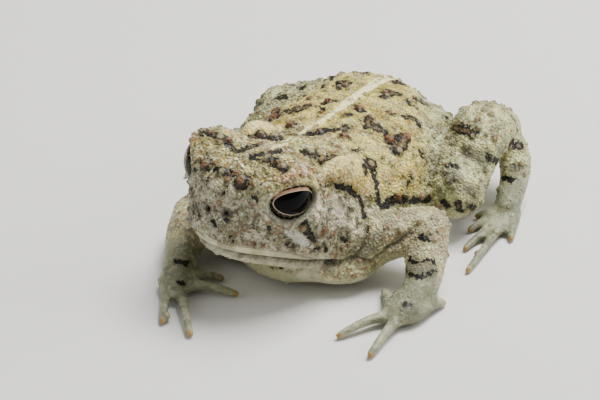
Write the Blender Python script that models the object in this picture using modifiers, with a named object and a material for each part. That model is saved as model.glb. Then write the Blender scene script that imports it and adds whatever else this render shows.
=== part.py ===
# Fowler's toad, a still life-size model: sitting, head raised, forelegs propped
# wide, hind legs folded beside the body. Head towards -Y, the toad's left is +X,
# the floor is z = 0. Blender 4.5, metres; the sizes below are in millimetres.

import math
import random

import bmesh
import bpy
from mathutils import Euler, Matrix, Vector
from mathutils.bvhtree import BVHTree

MM = 0.001

# Driving sizes.
GAP = 0.3                # left between neighbouring nodes
VOXEL = 0.5              # grain of the blended body before it is thinned
FINE_VOXEL = 0.4         # grain of the arms and feet
HEAD_CENTRE = Vector((0.7, -17.8, 18.0))    # midway between the eyeballs
HEAD_TURN = 8.9          # degrees, towards the toad's right
HEAD_RAISE = 22.1        # degrees, snout up
HEAD_ROLL = 1.8          # degrees, its left side lower
EYE_RADIUS = 4.3
EYE_PLACE = (5.9, 1.0, 0.0)          # the left eyeball's centre, in head axes
OPENING = (2.6, 4.3, 2.6)            # half-sizes of the form that parts the lids
OPENING_PLACE = (9.85, 0.3, -0.3)    # on the toad's left, in head axes
OPENING_TILT = 12.8      # degrees, its rear corner higher
OPENING_TURN = 23.2      # degrees, its rear corner further out
NECK_BACK = 14.2         # the neck cut behind the eyes
MOUTH_FRONT = -9.1       # the mouth line's height under the eyes, in head axes
MOUTH_SLOPE = 0.0        # degrees, rising towards its corners
MOUTH_REACH = 5.8        # the mouth's blade is centred so far in front of the eyes
THROAT = -10.7           # height of the cut under the jaw, halfway back, in head axes
THROAT_SLOPE = 20.0      # degrees, meeting the mouth line behind its corners
JAW_DROP = 2.1           # from the upper lip's edge down to the middle of the lower jaw, at the chin
JAW_DEEPEN = 0.08        # how much more that is for each mm aside
NOSTRIL_PLACE = (2.3, -6.1, -3.9)    # the left one, in head axes
NOSTRIL_RADIUS = 0.5
GLAND_PLACE = (8.4, 11.9, 3.5)       # the left parotoid's middle, in head axes
GLAND = (2.9, 5.2, 1.9)              # half-sizes of its swelling
GLAND_SOCKET = (3.3, 5.5, 2.4)       # half-sizes of the plug that makes it a node
EARDRUM_PLACE = (10.4, 8.6, -0.7)    # the left tympanum, in head axes
EARDRUM = (1.2, 1.6, 1.7)            # half-sizes of its plug
SPINE_X = 2.0            # the spine's place beside x = 0, at y = 0
SPINE_LEAN = -0.09       # how fast it runs towards the toad's right, going back
SPINE_HEIGHT = 6.0       # the line that the back's warts are set out from
FINGER_RADIUS = 0.8
TOE_RADIUS = 0.75
FLOOR_DEPTH = 8.0        # of the block that trims the forms flat at z = 0
WIDE = 120.0             # wider than the whole toad
HALF = 60.0              # blades of this size stay within the head and neck
SCRAP = 1e-10            # cubic metres: a loose crumb that a cut leaves
SEED = 7
CORE_TRIANGLES = 3500
ARM_TRIANGLES = 1150
THIGH_TRIANGLES = 460
SHANK_TRIANGLES = 400
FOOT_TRIANGLES = 980

# Limb joints.
LEFT_ARM = {
    "shoulder": Vector((10.6, -9.9, 5.4)),
    "elbow": Vector((21.0, -1.8, 7.4)),
    "wrist": Vector((24.0, -10.4, 3.2)),
    "palm": Vector((23.6, -14.4, 1.6)),
    "tips": ((18.3, -10.6), (18.1, -23.0), (24.1, -24.9), (27.0, -9.0)),
    "spread": (-1.9, -1.2, 0.4, 2.1),
    "forward": (0.6, 1.8, 2.0, 0.2),
}
RIGHT_ARM = {
    "shoulder": Vector((-9.0, -8.5, 6.0)),
    "elbow": Vector((-13.6, -11.2, 4.8)),
    "wrist": Vector((-9.9, -19.6, 2.7)),
    "palm": Vector((-8.0, -23.2, 1.6)),
    "tips": ((-3.6, -18.6), (0.4, -21.0), (0.3, -32.3), (-4.8, -31.6)),
    "spread": (-1.4, -1.5, -0.4, 1.3),
    "forward": (-1.4, 0.8, 1.8, 1.4),
}
LEFT_LEG = {
    "hip": Vector((6.8, 22.4, 7.0)),
    "thigh": Vector((12.8, 16.4, 7.4)),
    "knee": Vector((18.8, 9.8, 6.6)),
    "calf": Vector((18.4, 18.8, 11.4)),
    "heel": Vector((19.0, 25.4, 9.6)),
    "instep": Vector((23.0, 21.4, 5.8)),
    "sole": Vector((24.4, 16.0, 1.9)),
    "girth": (4.8, 5.6, 4.6),
    "tips": ((20.6, 13.2), (21.4, 9.2), (23.2, 4.4), (26.2, -0.6), (28.0, 9.8)),
}
RIGHT_LEG = {
    "hip": Vector((-5.4, 23.0, 7.4)),
    "thigh": Vector((-10.4, 18.6, 7.2)),
    "knee": Vector((-15.0, 12.0, 5.7)),
    "calf": Vector((-16.8, 19.6, 5.6)),
    "heel": Vector((-16.8, 26.6, 5.4)),
    "instep": Vector((-20.2, 23.6, 3.0)),
    "sole": Vector((-22.2, 18.6, 1.8)),
    "girth": (5.4, 5.9, 4.6),
    "tips": ((-19.4, 15.0), (-20.0, 11.2), (-21.6, 6.8), (-25.0, 3.0), (-27.4, 12.4)),
}

# Trunk forms along the spine: centre and half-sizes.
TRUNK_BALLS = (
    ((2.2, -7.5, 10.0), (11.2, 9.5, 8.7)),
    ((1.8, -8.0, 5.4), (11.4, 9.0, 5.0)),
    ((2.0, -2.0, 9.1), (12.8, 9.5, 8.8)),
    ((1.8, 4.0, 8.6), (15.0, 13.0, 8.8)),
    ((1.3, 9.6, 8.6), (14.2, 11.0, 8.4)),
    ((1.4, 8.0, 5.6), (15.6, 15.0, 5.9)),
    ((0.8, 14.0, 8.4), (13.4, 12.0, 7.9)),
    ((-1.0, 18.0, 8.2), (11.8, 9.8, 7.7)),
    ((-1.2, 21.4, 7.2), (9.0, 8.0, 6.7)),
    ((-1.8, 25.0, 6.2), (6.8, 5.8, 5.0)),
    ((-2.0, 28.4, 4.8), (4.2, 3.2, 3.4)),
    ((9.6, -8.6, 3.5), (7.4, 7.0, 3.7)),
    ((3.4, -11.6, 3.8), (8.4, 6.4, 3.8)),
    ((-5.0, -10.6, 4.6), (6.6, 6.4, 4.3)),
)

# The head's skull, muzzle and throat, in head axes: centre and half-sizes.
SKULL_BALLS = (
    ((0, 6.0, -1.5), (8.6, 12.0, 5.9)),
    ((0, 0.0, -1.1), (6.3, 5.3, 4.7)),
    ((0, 2.8, -4.5), (8.8, 8.4, 4.6)),
    ((0, 8.0, -4.2), (10.6, 9.0, 4.6)),
    ((0, 14.0, -2.0), (10.2, 8.0, 6.6)),
    ((0, 5.4, -8.8), (8.4, 8.2, 2.8)),
    ((0, 10.0, -9.4), (9.6, 8.0, 3.6)),
)

# The edge of the upper lip, in head axes, from the snout to the left corner.
LIP = ((0.0, -4.5, -7.7), (2.5, -3.9, -7.5), (4.9, -1.9, -7.2), (7.1, 1.2, -7.0),
       (8.9, 4.6, -6.9), (10.1, 9.0, -6.9), (10.4, 12.0, -6.8))

# Warts that stand out on the back: degrees from the spine towards the toad's
# left, place along it, radius. The last of them are alike on both flanks.
BACK_WARTS = ((-21.6, -7.2, 1.0), (-21.8, -0.3, 0.8), (-26.9, 3.7, 1.0), (-12.2, 7.9, 1.0),
              (-29.0, 16.5, 1.0), (-4.0, -2.1, 0.7), (4.5, -0.5, 0.8), (13.0, 1.2, 0.8),
              (19.5, 2.8, 0.7), (14.7, 14.6, 0.9))
FLANK_WARTS = ((19.3, -7.0, 1.0), (44.0, 4.4, 0.9), (49.0, 6.6, 0.9), (52.6, 4.0, 0.8),
               (35.4, 16.4, 0.9), (31.3, 10.6, 0.6), (62.3, 8.5, 0.7))

# Warts of each side of the head, in head axes: over the eye, seen from above (x, y)
# and on the cheek, seen from the side (y, z), each with its radius.
BROW_WARTS = ((7.0, -3.0, 0.5), (8.1, -1.8, 0.55), (8.8, -0.2, 0.55), (9.0, 1.7, 0.5),
              (4.4, -0.6, 0.5))
CHEEK_WARTS = ((4.6, -3.0, 0.65), (7.0, -4.3, 0.75), (5.0, -5.3, 0.6), (9.6, -3.4, 0.7))
WART_HEIGHT = 0.55       # of its radius
WART_SPACE = 0.5         # least distance between two warts
RAY_START = 30.0         # how far outside the skin a wart's place is sought from
SMALL_WARTS = 9          # strewn between the larger ones
SMALL_WART_RADIUS = (0.55, 0.8)
SMALL_WART_REACH = 75.0  # degrees from the spine
SMALL_WARTS_ALONG = (-1.0, 25.0)

# Colour and roughness of each kind of node, by the first word of its name.
FINISH = {
    "eye": ("#0c0a09", 0.1),
    "lower": ("#c9c4ad", 0.55),
    "parotoid": ("#c0b190", 0.6),
    "tympanum": ("#948a7b", 0.5),
}
SKIN_FINISH = ("#a19d82", 0.6)


def head_matrix():
    """Head axes: +X its left, +Y back, +Z up, about the point between the eyes."""
    angles = [math.radians(angle) for angle in (-HEAD_RAISE, HEAD_ROLL, -HEAD_TURN)]
    return Matrix.Translation(HEAD_CENTRE) @ Euler(angles, "YXZ").to_matrix().to_4x4()


HEAD = head_matrix()
WORLD = Matrix.Identity(4)


def clear_scene():
    for obj in list(bpy.data.objects):
        bpy.data.objects.remove(obj, do_unlink=True)


def linear(code):
    """An sRGB hex colour as linear RGBA."""
    channels = [int(code[i:i + 2], 16) / 255 for i in (1, 3, 5)]
    return [c / 12.92 if c <= 0.04045 else ((c + 0.055) / 1.055) ** 2.4 for c in channels] + [1.0]


def paint(obj):
    """Give a node a material of its own."""
    code, roughness = FINISH.get(obj.name.split("_")[0], SKIN_FINISH)
    material = bpy.data.materials.new(obj.name)
    material.use_nodes = True
    shader = material.node_tree.nodes["Principled BSDF"]
    shader.inputs["Base Color"].default_value = linear(code)
    shader.inputs["Roughness"].default_value = roughness
    shader.inputs["Metallic"].default_value = 0.0
    obj.data.materials.clear()
    obj.data.materials.append(material)


def mesh_object(name, bm, collection):
    """Make a bmesh an object; lengths in the bmesh are in metres."""
    mesh = bpy.data.meshes.new(name)
    bm.to_mesh(mesh)
    bm.free()
    obj = bpy.data.objects.new(name, mesh)
    collection.objects.link(obj)
    return obj


def as_cutter(obj):
    obj.hide_render = True
    obj.display_type = "WIRE"
    return obj


def add_ball(bm, centre, radii, frame=WORLD, turn=(0, 0, 0), segments=20):
    """Add an ellipsoid; turn in degrees, all in the frame."""
    spin = Euler([math.radians(angle) for angle in turn], "XYZ").to_matrix().to_4x4()
    stretch = Matrix.Diagonal((*radii, 1.0))
    place = Matrix.Scale(MM, 4) @ frame @ Matrix.Translation(Vector(centre)) @ spin @ stretch
    bmesh.ops.create_uvsphere(
        bm, u_segments=segments, v_segments=segments * 2 // 3, radius=1.0, matrix=place
    )


def add_rod(bm, points, radii, frame=WORLD):
    """Add a tapered rod with round ends along a smooth curve."""
    curve = bpy.data.curves.new("rod", "CURVE")
    curve.dimensions = "3D"
    curve.bevel_depth = MM
    curve.bevel_resolution = 3
    curve.resolution_u = 6
    curve.use_fill_caps = True
    spline = curve.splines.new("BEZIER")
    spline.bezier_points.add(len(points) - 1)
    for knot, point, radius in zip(spline.bezier_points, points, radii):
        knot.co = MM * (frame @ Vector(point))
        knot.radius = radius
        knot.handle_left_type = "AUTO"
        knot.handle_right_type = "AUTO"
    obj = bpy.data.objects.new("rod", curve)
    bpy.context.scene.collection.objects.link(obj)
    graph = bpy.context.evaluated_depsgraph_get()
    mesh = bpy.data.meshes.new_from_object(obj.evaluated_get(graph))
    bpy.data.objects.remove(obj, do_unlink=True)
    tube = bmesh.new()
    tube.from_mesh(mesh)
    bmesh.ops.remove_doubles(tube, verts=tube.verts, dist=0.00001)
    bmesh.ops.recalc_face_normals(tube, faces=tube.faces)
    tube.to_mesh(mesh)
    tube.free()
    bm.from_mesh(mesh)
    bpy.data.meshes.remove(mesh)
    for point, radius in ((points[0], radii[0]), (points[-1], radii[-1])):
        add_ball(bm, point, (radius, radius, radius), frame, segments=12)


def apply_modifiers(obj):
    """Bake the object's modifiers into its mesh."""
    graph = bpy.context.evaluated_depsgraph_get()
    mesh = bpy.data.meshes.new_from_object(obj.evaluated_get(graph))
    obj.modifiers.clear()
    old = obj.data
    obj.data = mesh
    bpy.data.meshes.remove(old)


def blend(name, bm, collection, smooth, voxel):
    """Fuse overlapping closed forms into one skin and soften the joins."""
    obj = mesh_object(name, bm, collection)
    fuse = obj.modifiers.new("fuse", "REMESH")
    fuse.mode = "VOXEL"
    fuse.voxel_size = voxel * MM
    soften = obj.modifiers.new("soften", "SMOOTH")
    soften.factor = 0.5
    soften.iterations = smooth
    apply_modifiers(obj)
    return obj


def thin(obj, triangles):
    """Reduce a mesh to about so many triangles, fewest where it is flattest."""
    count = sum(len(face.vertices) - 2 for face in obj.data.polygons)
    fewer = obj.modifiers.new("fewer", "DECIMATE")
    fewer.ratio = min(1.0, triangles / count)
    apply_modifiers(obj)


def grown_copy(obj, amount, collection):
    """A copy pushed out along its normals, for trimming a neighbour."""
    copy = bpy.data.objects.new(obj.name + "_grown", obj.data.copy())
    collection.objects.link(copy)
    push = copy.modifiers.new("push", "DISPLACE")
    push.strength = amount * MM
    push.mid_level = 0.0
    apply_modifiers(copy)
    return as_cutter(copy)


def trim(obj, cutter, operation="DIFFERENCE", solver="EXACT"):
    """Cut obj by a closed cutter and bake the result."""
    cut = obj.modifiers.new("cut", "BOOLEAN")
    cut.operation = operation
    cut.solver = solver
    cut.object = cutter
    apply_modifiers(obj)


def carve(core, cutter):
    """Take a cutter out of the wart-covered core, which needs the manifold solver."""
    trim(core, cutter, "DIFFERENCE", "MANIFOLD")


def slab(centre, size, frame, collection, tilt=0.0):
    """A box cutter from its middle and size; tilt in degrees about X."""
    bm = bmesh.new()
    lean = Matrix.Rotation(math.radians(tilt), 4, "X")
    stretch = Matrix.Diagonal((*size, 1.0))
    place = Matrix.Scale(MM, 4) @ frame @ Matrix.Translation(Vector(centre)) @ lean @ stretch
    bmesh.ops.create_cube(bm, size=1.0, matrix=place)
    return as_cutter(mesh_object("slab", bm, collection))


def floor_block(collection):
    """The block below z = 0 that leaves small flats on all that stands on the floor."""
    return slab((0, 0, -FLOOR_DEPTH / 2), (WIDE, WIDE, FLOOR_DEPTH), WORLD, collection)


def ball_cutter(centre, radii, frame, collection, turn=(0, 0, 0), segments=20):
    bm = bmesh.new()
    add_ball(bm, centre, radii, frame, turn, segments)
    return as_cutter(mesh_object("ball", bm, collection))


def disc(centre, axis, radius, collection):
    """A round blade across a limb, one gap thick."""
    bm = bmesh.new()
    turn = Vector((0, 0, 1)).rotation_difference(Vector(axis).normalized()).to_matrix().to_4x4()
    bmesh.ops.create_cone(
        bm, cap_ends=True, segments=24, radius1=radius * MM, radius2=radius * MM,
        depth=GAP * MM, matrix=Matrix.Translation(MM * Vector(centre)) @ turn,
    )
    return as_cutter(mesh_object("disc", bm, collection))


def shells(obj):
    """The separate closed surfaces of an object, as bmeshes, largest first."""
    source = bmesh.new()
    source.from_mesh(obj.data)
    bmesh.ops.triangulate(source, faces=source.faces)
    bmesh.ops.remove_doubles(source, verts=source.verts, dist=0.000003)
    bmesh.ops.dissolve_degenerate(source, edges=source.edges, dist=0.000003)
    bmesh.ops.triangulate(source, faces=source.faces)
    source.verts.index_update()
    seen = set()
    groups = []
    for start in source.verts:
        if start.index in seen:
            continue
        seen.add(start.index)
        group = [start]
        for vert in group:
            for edge in vert.link_edges:
                other = edge.other_vert(vert)
                if other.index not in seen:
                    seen.add(other.index)
                    group.append(other)
        groups.append(group)
    groups.sort(key=len, reverse=True)
    result = []
    for group in groups:
        keep = {vert.index for vert in group}
        piece = source.copy()
        piece.verts.ensure_lookup_table()
        drop = [vert for vert in piece.verts if vert.index not in keep]
        bmesh.ops.delete(piece, geom=drop, context="VERTS")
        result.append(piece)
    source.free()
    return result


def volume_centre(bm):
    """Volume and middle of a closed triangle mesh."""
    total = 0.0
    centre = Vector()
    for face in bm.faces:
        a, b, c = (vert.co for vert in face.verts)
        part = a.dot(b.cross(c)) / 6.0
        total += part
        centre += part * (a + b + c) / 4.0
    return total, centre / max(total, SCRAP)


def keep_largest(obj):
    """Keep only the largest closed surface of a node."""
    pieces = shells(obj)
    pieces[0].to_mesh(obj.data)
    for piece in pieces:
        piece.free()


def split(obj, places, collection):
    """Part an object that thin blades have cut: one node for each named place."""
    found = {}
    for piece in shells(obj):
        size, centre = volume_centre(piece)
        if size < SCRAP:
            continue
        name = min(places, key=lambda key: (MM * places[key] - centre).length)
        if name not in found or size > found[name][0]:
            found[name] = (size, piece)
    for name, (size, piece) in found.items():
        mesh_object(name, piece, collection)
    bpy.data.objects.remove(obj, do_unlink=True)


def add_head(bm):
    """The head's forms, in the head's own axes."""
    for centre, radii in SKULL_BALLS:
        add_ball(bm, centre, radii, HEAD, segments=32)
    right = [(-x, y, z) for x, y, z in LIP[:0:-1]]
    lip = right + list(LIP)
    lip_radii = [1.3 + 0.03 * abs(x) for x, y, z in lip]
    add_rod(bm, lip, lip_radii, HEAD)
    jaw = [(x * 0.93, y * 0.88 + 2.0, z - JAW_DROP - JAW_DEEPEN * abs(x)) for x, y, z in lip]
    add_rod(bm, jaw, [1.4] * len(jaw), HEAD)
    for side in (1, -1):
        add_ball(bm, (side * 10.2, 11.8, -5.6), (2.6, 3.0, 3.6), HEAD)
        add_ball(bm, (side * 9.0, 6.0, -3.4), (2.5, 4.6, 3.6), HEAD)
        mound = (side * EYE_PLACE[0], EYE_PLACE[1] - 0.1, EYE_PLACE[2] + 0.3)
        add_ball(bm, mound, (4.9, 5.3, 4.8), HEAD)
        canthus = ((side * 2.3, -4.6, -2.4), (side * 4.2, -3.6, 0.6), (side * 4.4, -0.6, 3.2))
        crest = ((side * 4.4, -0.6, 3.2), (side * 4.4, 3.0, 3.7), (side * 5.0, 6.2, 3.6))
        behind = ((side * 5.0, 6.2, 3.6), (side * 8.0, 6.4, 2.6), (side * 10.0, 6.0, 0.4))
        for ridge in (canthus, crest, behind):
            add_rod(bm, ridge, (0.8, 1.0, 0.9), HEAD)
        add_ball(bm, (side * 2.3, -5.3, -3.9), (0.9, 0.9, 0.9), HEAD)
        add_gland(bm, side)


def mirrored(place, side):
    """A place of the left side, or its like on the right."""
    return (side * place[0], place[1], place[2])


def gland_turn(side):
    """The parotoids' lie: inner edge up, narrowing towards the back."""
    return (-20, side * 26, side * -8)


def add_gland(bm, side):
    """The parotoid gland, a long oval swelling behind the eye."""
    add_ball(bm, mirrored(GLAND_PLACE, side), GLAND, HEAD, gland_turn(side))


def wart_places(tree):
    """Surface points, normals and radii of the warts on the blended skin."""
    draw = random.Random(SEED)
    trunk = list(BACK_WARTS + FLANK_WARTS)
    trunk += [(-across, along + 0.8, radius) for across, along, radius in FLANK_WARTS]
    first, last = SMALL_WARTS_ALONG
    for number in range(SMALL_WARTS):
        along = first + (last - first) * (number + draw.random()) / SMALL_WARTS
        across = draw.uniform(-SMALL_WART_REACH, SMALL_WART_REACH)
        trunk.append((across, along, draw.uniform(*SMALL_WART_RADIUS)))
    spots = []
    for across, along, radius in trunk:
        angle = math.radians(across)
        out = Vector((math.sin(angle), 0.0, math.cos(angle)))
        middle = Vector((SPINE_X + SPINE_LEAN * along, along, SPINE_HEIGHT))
        spots.append((middle + RAY_START * out, -out, radius))
    down = HEAD.to_3x3() @ Vector((0, 0, -1))
    for side in (1, -1):
        inward = HEAD.to_3x3() @ Vector((-side, 0, 0))
        for x, y, radius in BROW_WARTS:
            spots.append((HEAD @ Vector((side * x, y, RAY_START)), down, radius))
        for y, z, radius in CHEEK_WARTS:
            spots.append((HEAD @ Vector((side * RAY_START, y, z)), inward, radius))
    found = []
    for start, aim, radius in spots:
        spot, normal, index, distance = tree.ray_cast(MM * Vector(start), Vector(aim))
        if spot is None:
            continue
        near = [size for other, up, size in found
                if (spot / MM - other).length < radius + size + WART_SPACE]
        if not near:
            found.append((spot / MM, normal, radius))
    return found


def add_warts(core):
    """Low round warts, fused to the skin with their roots sunk in."""
    tree = BVHTree.FromObject(core, bpy.context.evaluated_depsgraph_get())
    warts = bpy.data.collections.new("warts")
    bpy.context.scene.collection.children.link(warts)
    for spot, normal, radius in wart_places(tree):
        turn = Vector((0, 0, 1)).rotation_difference(normal).to_matrix().to_4x4()
        stretch = Matrix.Diagonal((radius, radius, radius * WART_HEIGHT, 1.0))
        bm = bmesh.new()
        place = Matrix.Scale(MM, 4) @ Matrix.Translation(spot) @ turn @ stretch
        bmesh.ops.create_uvsphere(bm, u_segments=6, v_segments=4, radius=1.0, matrix=place)
        mesh_object("wart", bm, warts)
    join = core.modifiers.new("join", "BOOLEAN")
    join.operation = "UNION"
    join.operand_type = "COLLECTION"
    join.solver = "EXACT"
    join.collection = warts
    apply_modifiers(core)
    for wart in list(warts.objects):
        bpy.data.objects.remove(wart, do_unlink=True)
    bpy.data.collections.remove(warts)


def build_core(cutters):
    """Head and trunk as one skin."""
    bm = bmesh.new()
    for centre, radii in TRUNK_BALLS:
        add_ball(bm, centre, radii, segments=32)
    add_head(bm)
    core = blend("core", bm, cutters, 7, VOXEL)
    thin(core, CORE_TRIANGLES)
    add_warts(core)
    return core


def digit(bm, root, tip, radius, rise):
    """One finger or toe lying on the floor, thicker at its knuckle."""
    end = Vector((tip[0], tip[1], radius * 0.75))
    middle = root.lerp(end, 0.5)
    middle.z = radius * 0.75 + rise
    add_rod(bm, (root, middle, end), (radius * 1.25, radius, radius * 0.9))


def build_arm(side_name, side, arm, parts, cutters):
    """Upper arm, forearm and hand; returns the form that its neighbours are cut by."""
    shoulder, elbow, wrist, palm = arm["shoulder"], arm["elbow"], arm["wrist"], arm["palm"]
    bm = bmesh.new()
    upper_mid = shoulder.lerp(elbow, 0.5)
    fore_mid = elbow.lerp(wrist, 0.45)
    add_rod(bm, (shoulder, upper_mid, elbow), (4.6, 3.9, 2.9))
    add_rod(bm, (elbow, fore_mid, wrist, palm), (2.8, 3.1, 2.6, 2.1))
    reach = (palm - wrist).to_2d().normalized()
    across = Vector((-reach.y, reach.x)) * side
    add_ball(bm, palm, (3.0, 3.0, 1.8))
    for tip, aside, ahead in zip(arm["tips"], arm["spread"], arm["forward"]):
        root = palm.copy()
        root.xy = palm.xy + across * aside + reach * ahead
        root.z = 1.3
        digit(bm, root, tip, FINGER_RADIUS, 0.8)
    whole = blend("arm", bm, cutters, 2, FINE_VOXEL)
    thin(whole, ARM_TRIANGLES)
    grown = grown_copy(whole, GAP, cutters)
    trim(whole, floor_block(cutters))
    fold = (elbow - shoulder).normalized() + (wrist - elbow).normalized()
    trim(whole, disc(elbow, fold, 10.0, cutters))
    trim(whole, disc(wrist, palm - elbow, 4.8, cutters))
    split(whole, {
        "upper_arm_" + side_name: upper_mid,
        "forearm_" + side_name: fore_mid,
        "hand_" + side_name: palm + Vector((reach.x, reach.y, 0.0)),
    }, parts)
    return [grown]


def build_leg(side_name, side, leg, parts, cutters):
    """Thigh, shank, tarsus and foot, folded; returns the forms that trim the trunk."""
    hip, knee, calf, heel = leg["hip"], leg["knee"], leg["calf"], leg["heel"]
    girth = leg["girth"]
    instep, sole = leg["instep"], leg["sole"]
    bm = bmesh.new()
    add_rod(bm, (hip, leg["thigh"], knee), girth)
    thigh = blend("thigh_" + side_name, bm, parts, 3, VOXEL)
    thin(thigh, THIGH_TRIANGLES)
    bm = bmesh.new()
    add_rod(bm, (knee + Vector((side * 0.6, 2.0, 0.4)), calf, heel), (3.6, 4.9, 2.8))
    shank = blend("shank_" + side_name, bm, parts, 3, VOXEL)
    thin(shank, SHANK_TRIANGLES)
    bm = bmesh.new()
    add_rod(bm, (heel, instep, sole), (2.5, 2.5, 2.0))
    reach = (sole - instep).to_2d().normalized()
    across = Vector((-reach.y, reach.x)) * side
    for tip, aside in zip(leg["tips"], (-1.8, -1.1, -0.2, 0.7, 1.5)):
        root = sole.copy()
        root.xy = sole.xy + across * aside + reach * 0.8
        root.z = 1.2
        digit(bm, root, tip, TOE_RADIUS, 0.5)
    foot = blend("whole_foot", bm, cutters, 2, FINE_VOXEL)
    thin(foot, FOOT_TRIANGLES)
    grown = [grown_copy(obj, GAP, cutters) for obj in (thigh, shank, foot)]
    for obj in (thigh, shank, foot):
        trim(obj, floor_block(cutters))
    trim(shank, grown[0])
    keep_largest(shank)
    trim(foot, grown[0])
    trim(foot, grown[1])
    trim(foot, disc(instep.lerp(sole, 0.5), sole - instep, 4.5, cutters))
    split(foot, {
        "tarsus_" + side_name: instep,
        "foot_" + side_name: sole + Vector((reach.x, reach.y, -0.5)) * 2.0,
    }, parts)
    return grown


def build_eye(side_name, side, parts, cutters):
    """The eyeball; returns the form that its socket is cut by."""
    bm = bmesh.new()
    add_ball(bm, mirrored(EYE_PLACE, side), (EYE_RADIUS,) * 3, HEAD, (0, 90, 0), segments=14)
    eye = mesh_object("eye_" + side_name, bm, parts)
    return grown_copy(eye, GAP, cutters)


def take_out(core, name, centre, radii, turn, segments, parts, cutters):
    """Cut an oval plug from the skin as a node of its own, one gap from its socket."""
    plug = bpy.data.objects.new(name, core.data.copy())
    parts.objects.link(plug)
    shape = ball_cutter(centre, radii, HEAD, cutters, turn, segments)
    trim(plug, shape, "INTERSECT", "MANIFOLD")
    keep_largest(plug)
    wider = [radius + GAP for radius in radii]
    carve(core, ball_cutter(centre, wider, HEAD, cutters, turn, segments))


def part_head(core, cutters):
    """Three thin blades: behind the neck, under the jaw and along the mouth."""
    slope = math.radians(THROAT_SLOPE)
    under = THROAT + NECK_BACK / 2 * math.tan(slope)
    neck = (0, NECK_BACK, under + (HALF - GAP) / 2)
    carve(core, slab(neck, (HALF, GAP, HALF), HEAD, cutters))
    back = NECK_BACK + GAP / 2 - HALF / 2 * math.cos(slope)
    throat = (0, back, under - HALF / 2 * math.sin(slope))
    carve(core, slab(throat, (HALF, HALF, GAP), HEAD, cutters, THROAT_SLOPE))
    length = 2 * (NECK_BACK + MOUTH_REACH)
    mouth = (0, NECK_BACK - length / 2, MOUTH_FRONT)
    carve(core, slab(mouth, (HALF, length, GAP), HEAD, cutters, MOUTH_SLOPE))


def stand_on_origin(parts):
    """Slide the finished toad so that the middle of its floor plan is the origin."""
    corners = [vert.co for obj in parts.objects for vert in obj.data.vertices]
    middle = [(min(c[i] for c in corners) + max(c[i] for c in corners)) / 2 for i in (0, 1)]
    slide = Matrix.Translation((-middle[0], -middle[1], 0.0))
    for obj in parts.objects:
        obj.data.transform(slide)


def main():
    clear_scene()
    scene = bpy.context.scene
    parts = bpy.data.collections.new("fowlers_toad")
    cutters = bpy.data.collections.new("cutters")
    scene.collection.children.link(parts)
    scene.collection.children.link(cutters)

    core = build_core(cutters)
    neighbours = build_arm("left", 1, LEFT_ARM, parts, cutters)
    neighbours += build_arm("right", -1, RIGHT_ARM, parts, cutters)
    neighbours += build_leg("left", 1, LEFT_LEG, parts, cutters)
    neighbours += build_leg("right", -1, RIGHT_LEG, parts, cutters)
    carve(core, floor_block(cutters))
    for side_name, side in (("left", 1), ("right", -1)):
        turn = (OPENING_TILT, 0, -side * OPENING_TURN)
        carve(core, ball_cutter(mirrored(OPENING_PLACE, side), OPENING, HEAD, cutters, turn))
        neighbours.append(build_eye(side_name, side, parts, cutters))
        nostril = mirrored(NOSTRIL_PLACE, side)
        carve(core, ball_cutter(nostril, (NOSTRIL_RADIUS,) * 3, HEAD, cutters, segments=8))
    for grown in neighbours:
        carve(core, grown)
    for side_name, side in (("left", 1), ("right", -1)):
        take_out(core, "parotoid_" + side_name, mirrored(GLAND_PLACE, side), GLAND_SOCKET,
                 gland_turn(side), 12, parts, cutters)
        take_out(core, "tympanum_" + side_name, mirrored(EARDRUM_PLACE, side), EARDRUM,
                 (0, 0, 0), 10, parts, cutters)
    part_head(core, cutters)
    split(core, {
        "head": HEAD @ Vector((0, 4, -3)),
        "lower_jaw": HEAD @ Vector((0, 4, -10.5)),
        "trunk": Vector((SPINE_X, 6, 8)),
    }, parts)
    for obj in list(cutters.objects):
        bpy.data.objects.remove(obj, do_unlink=True)
    stand_on_origin(parts)
    for obj in parts.objects:
        paint(obj)


main()
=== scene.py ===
"""A Fowler's toad, life-size, sitting with its head raised: skin, warts and eyes.

The part's solids give the body's shape. One skin covers all of them but the eyes,
with its lids, lips, warts and grain, and its markings are placed on it by named
marks. Lengths are in millimetres until a mesh is written.
"""

import math

import bmesh
import bpy
import numpy as np
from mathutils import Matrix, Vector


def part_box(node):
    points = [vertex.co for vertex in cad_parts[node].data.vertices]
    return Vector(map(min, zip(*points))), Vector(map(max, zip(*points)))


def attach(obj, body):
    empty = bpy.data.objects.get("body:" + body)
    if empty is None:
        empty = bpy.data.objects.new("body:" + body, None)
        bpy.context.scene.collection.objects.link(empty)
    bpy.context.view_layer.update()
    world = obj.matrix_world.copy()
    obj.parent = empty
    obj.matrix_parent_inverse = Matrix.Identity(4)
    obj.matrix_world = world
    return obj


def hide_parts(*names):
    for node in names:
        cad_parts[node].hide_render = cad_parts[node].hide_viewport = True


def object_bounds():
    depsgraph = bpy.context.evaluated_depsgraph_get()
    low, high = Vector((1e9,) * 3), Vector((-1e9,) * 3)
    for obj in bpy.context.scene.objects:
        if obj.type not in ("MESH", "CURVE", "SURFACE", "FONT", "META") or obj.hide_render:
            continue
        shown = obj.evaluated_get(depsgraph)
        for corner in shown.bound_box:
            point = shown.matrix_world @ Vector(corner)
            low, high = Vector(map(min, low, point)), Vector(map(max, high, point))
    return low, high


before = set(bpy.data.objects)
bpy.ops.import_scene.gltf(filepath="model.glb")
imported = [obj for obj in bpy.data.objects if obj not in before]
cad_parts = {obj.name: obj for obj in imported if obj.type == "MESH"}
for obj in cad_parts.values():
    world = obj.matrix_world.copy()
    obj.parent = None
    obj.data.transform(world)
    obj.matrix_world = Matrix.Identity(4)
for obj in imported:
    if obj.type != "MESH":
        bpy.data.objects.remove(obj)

import openvdb
from mathutils import Euler, Matrix, Vector
from mathutils.bvhtree import BVHTree
from mathutils.kdtree import KDTree

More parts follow.
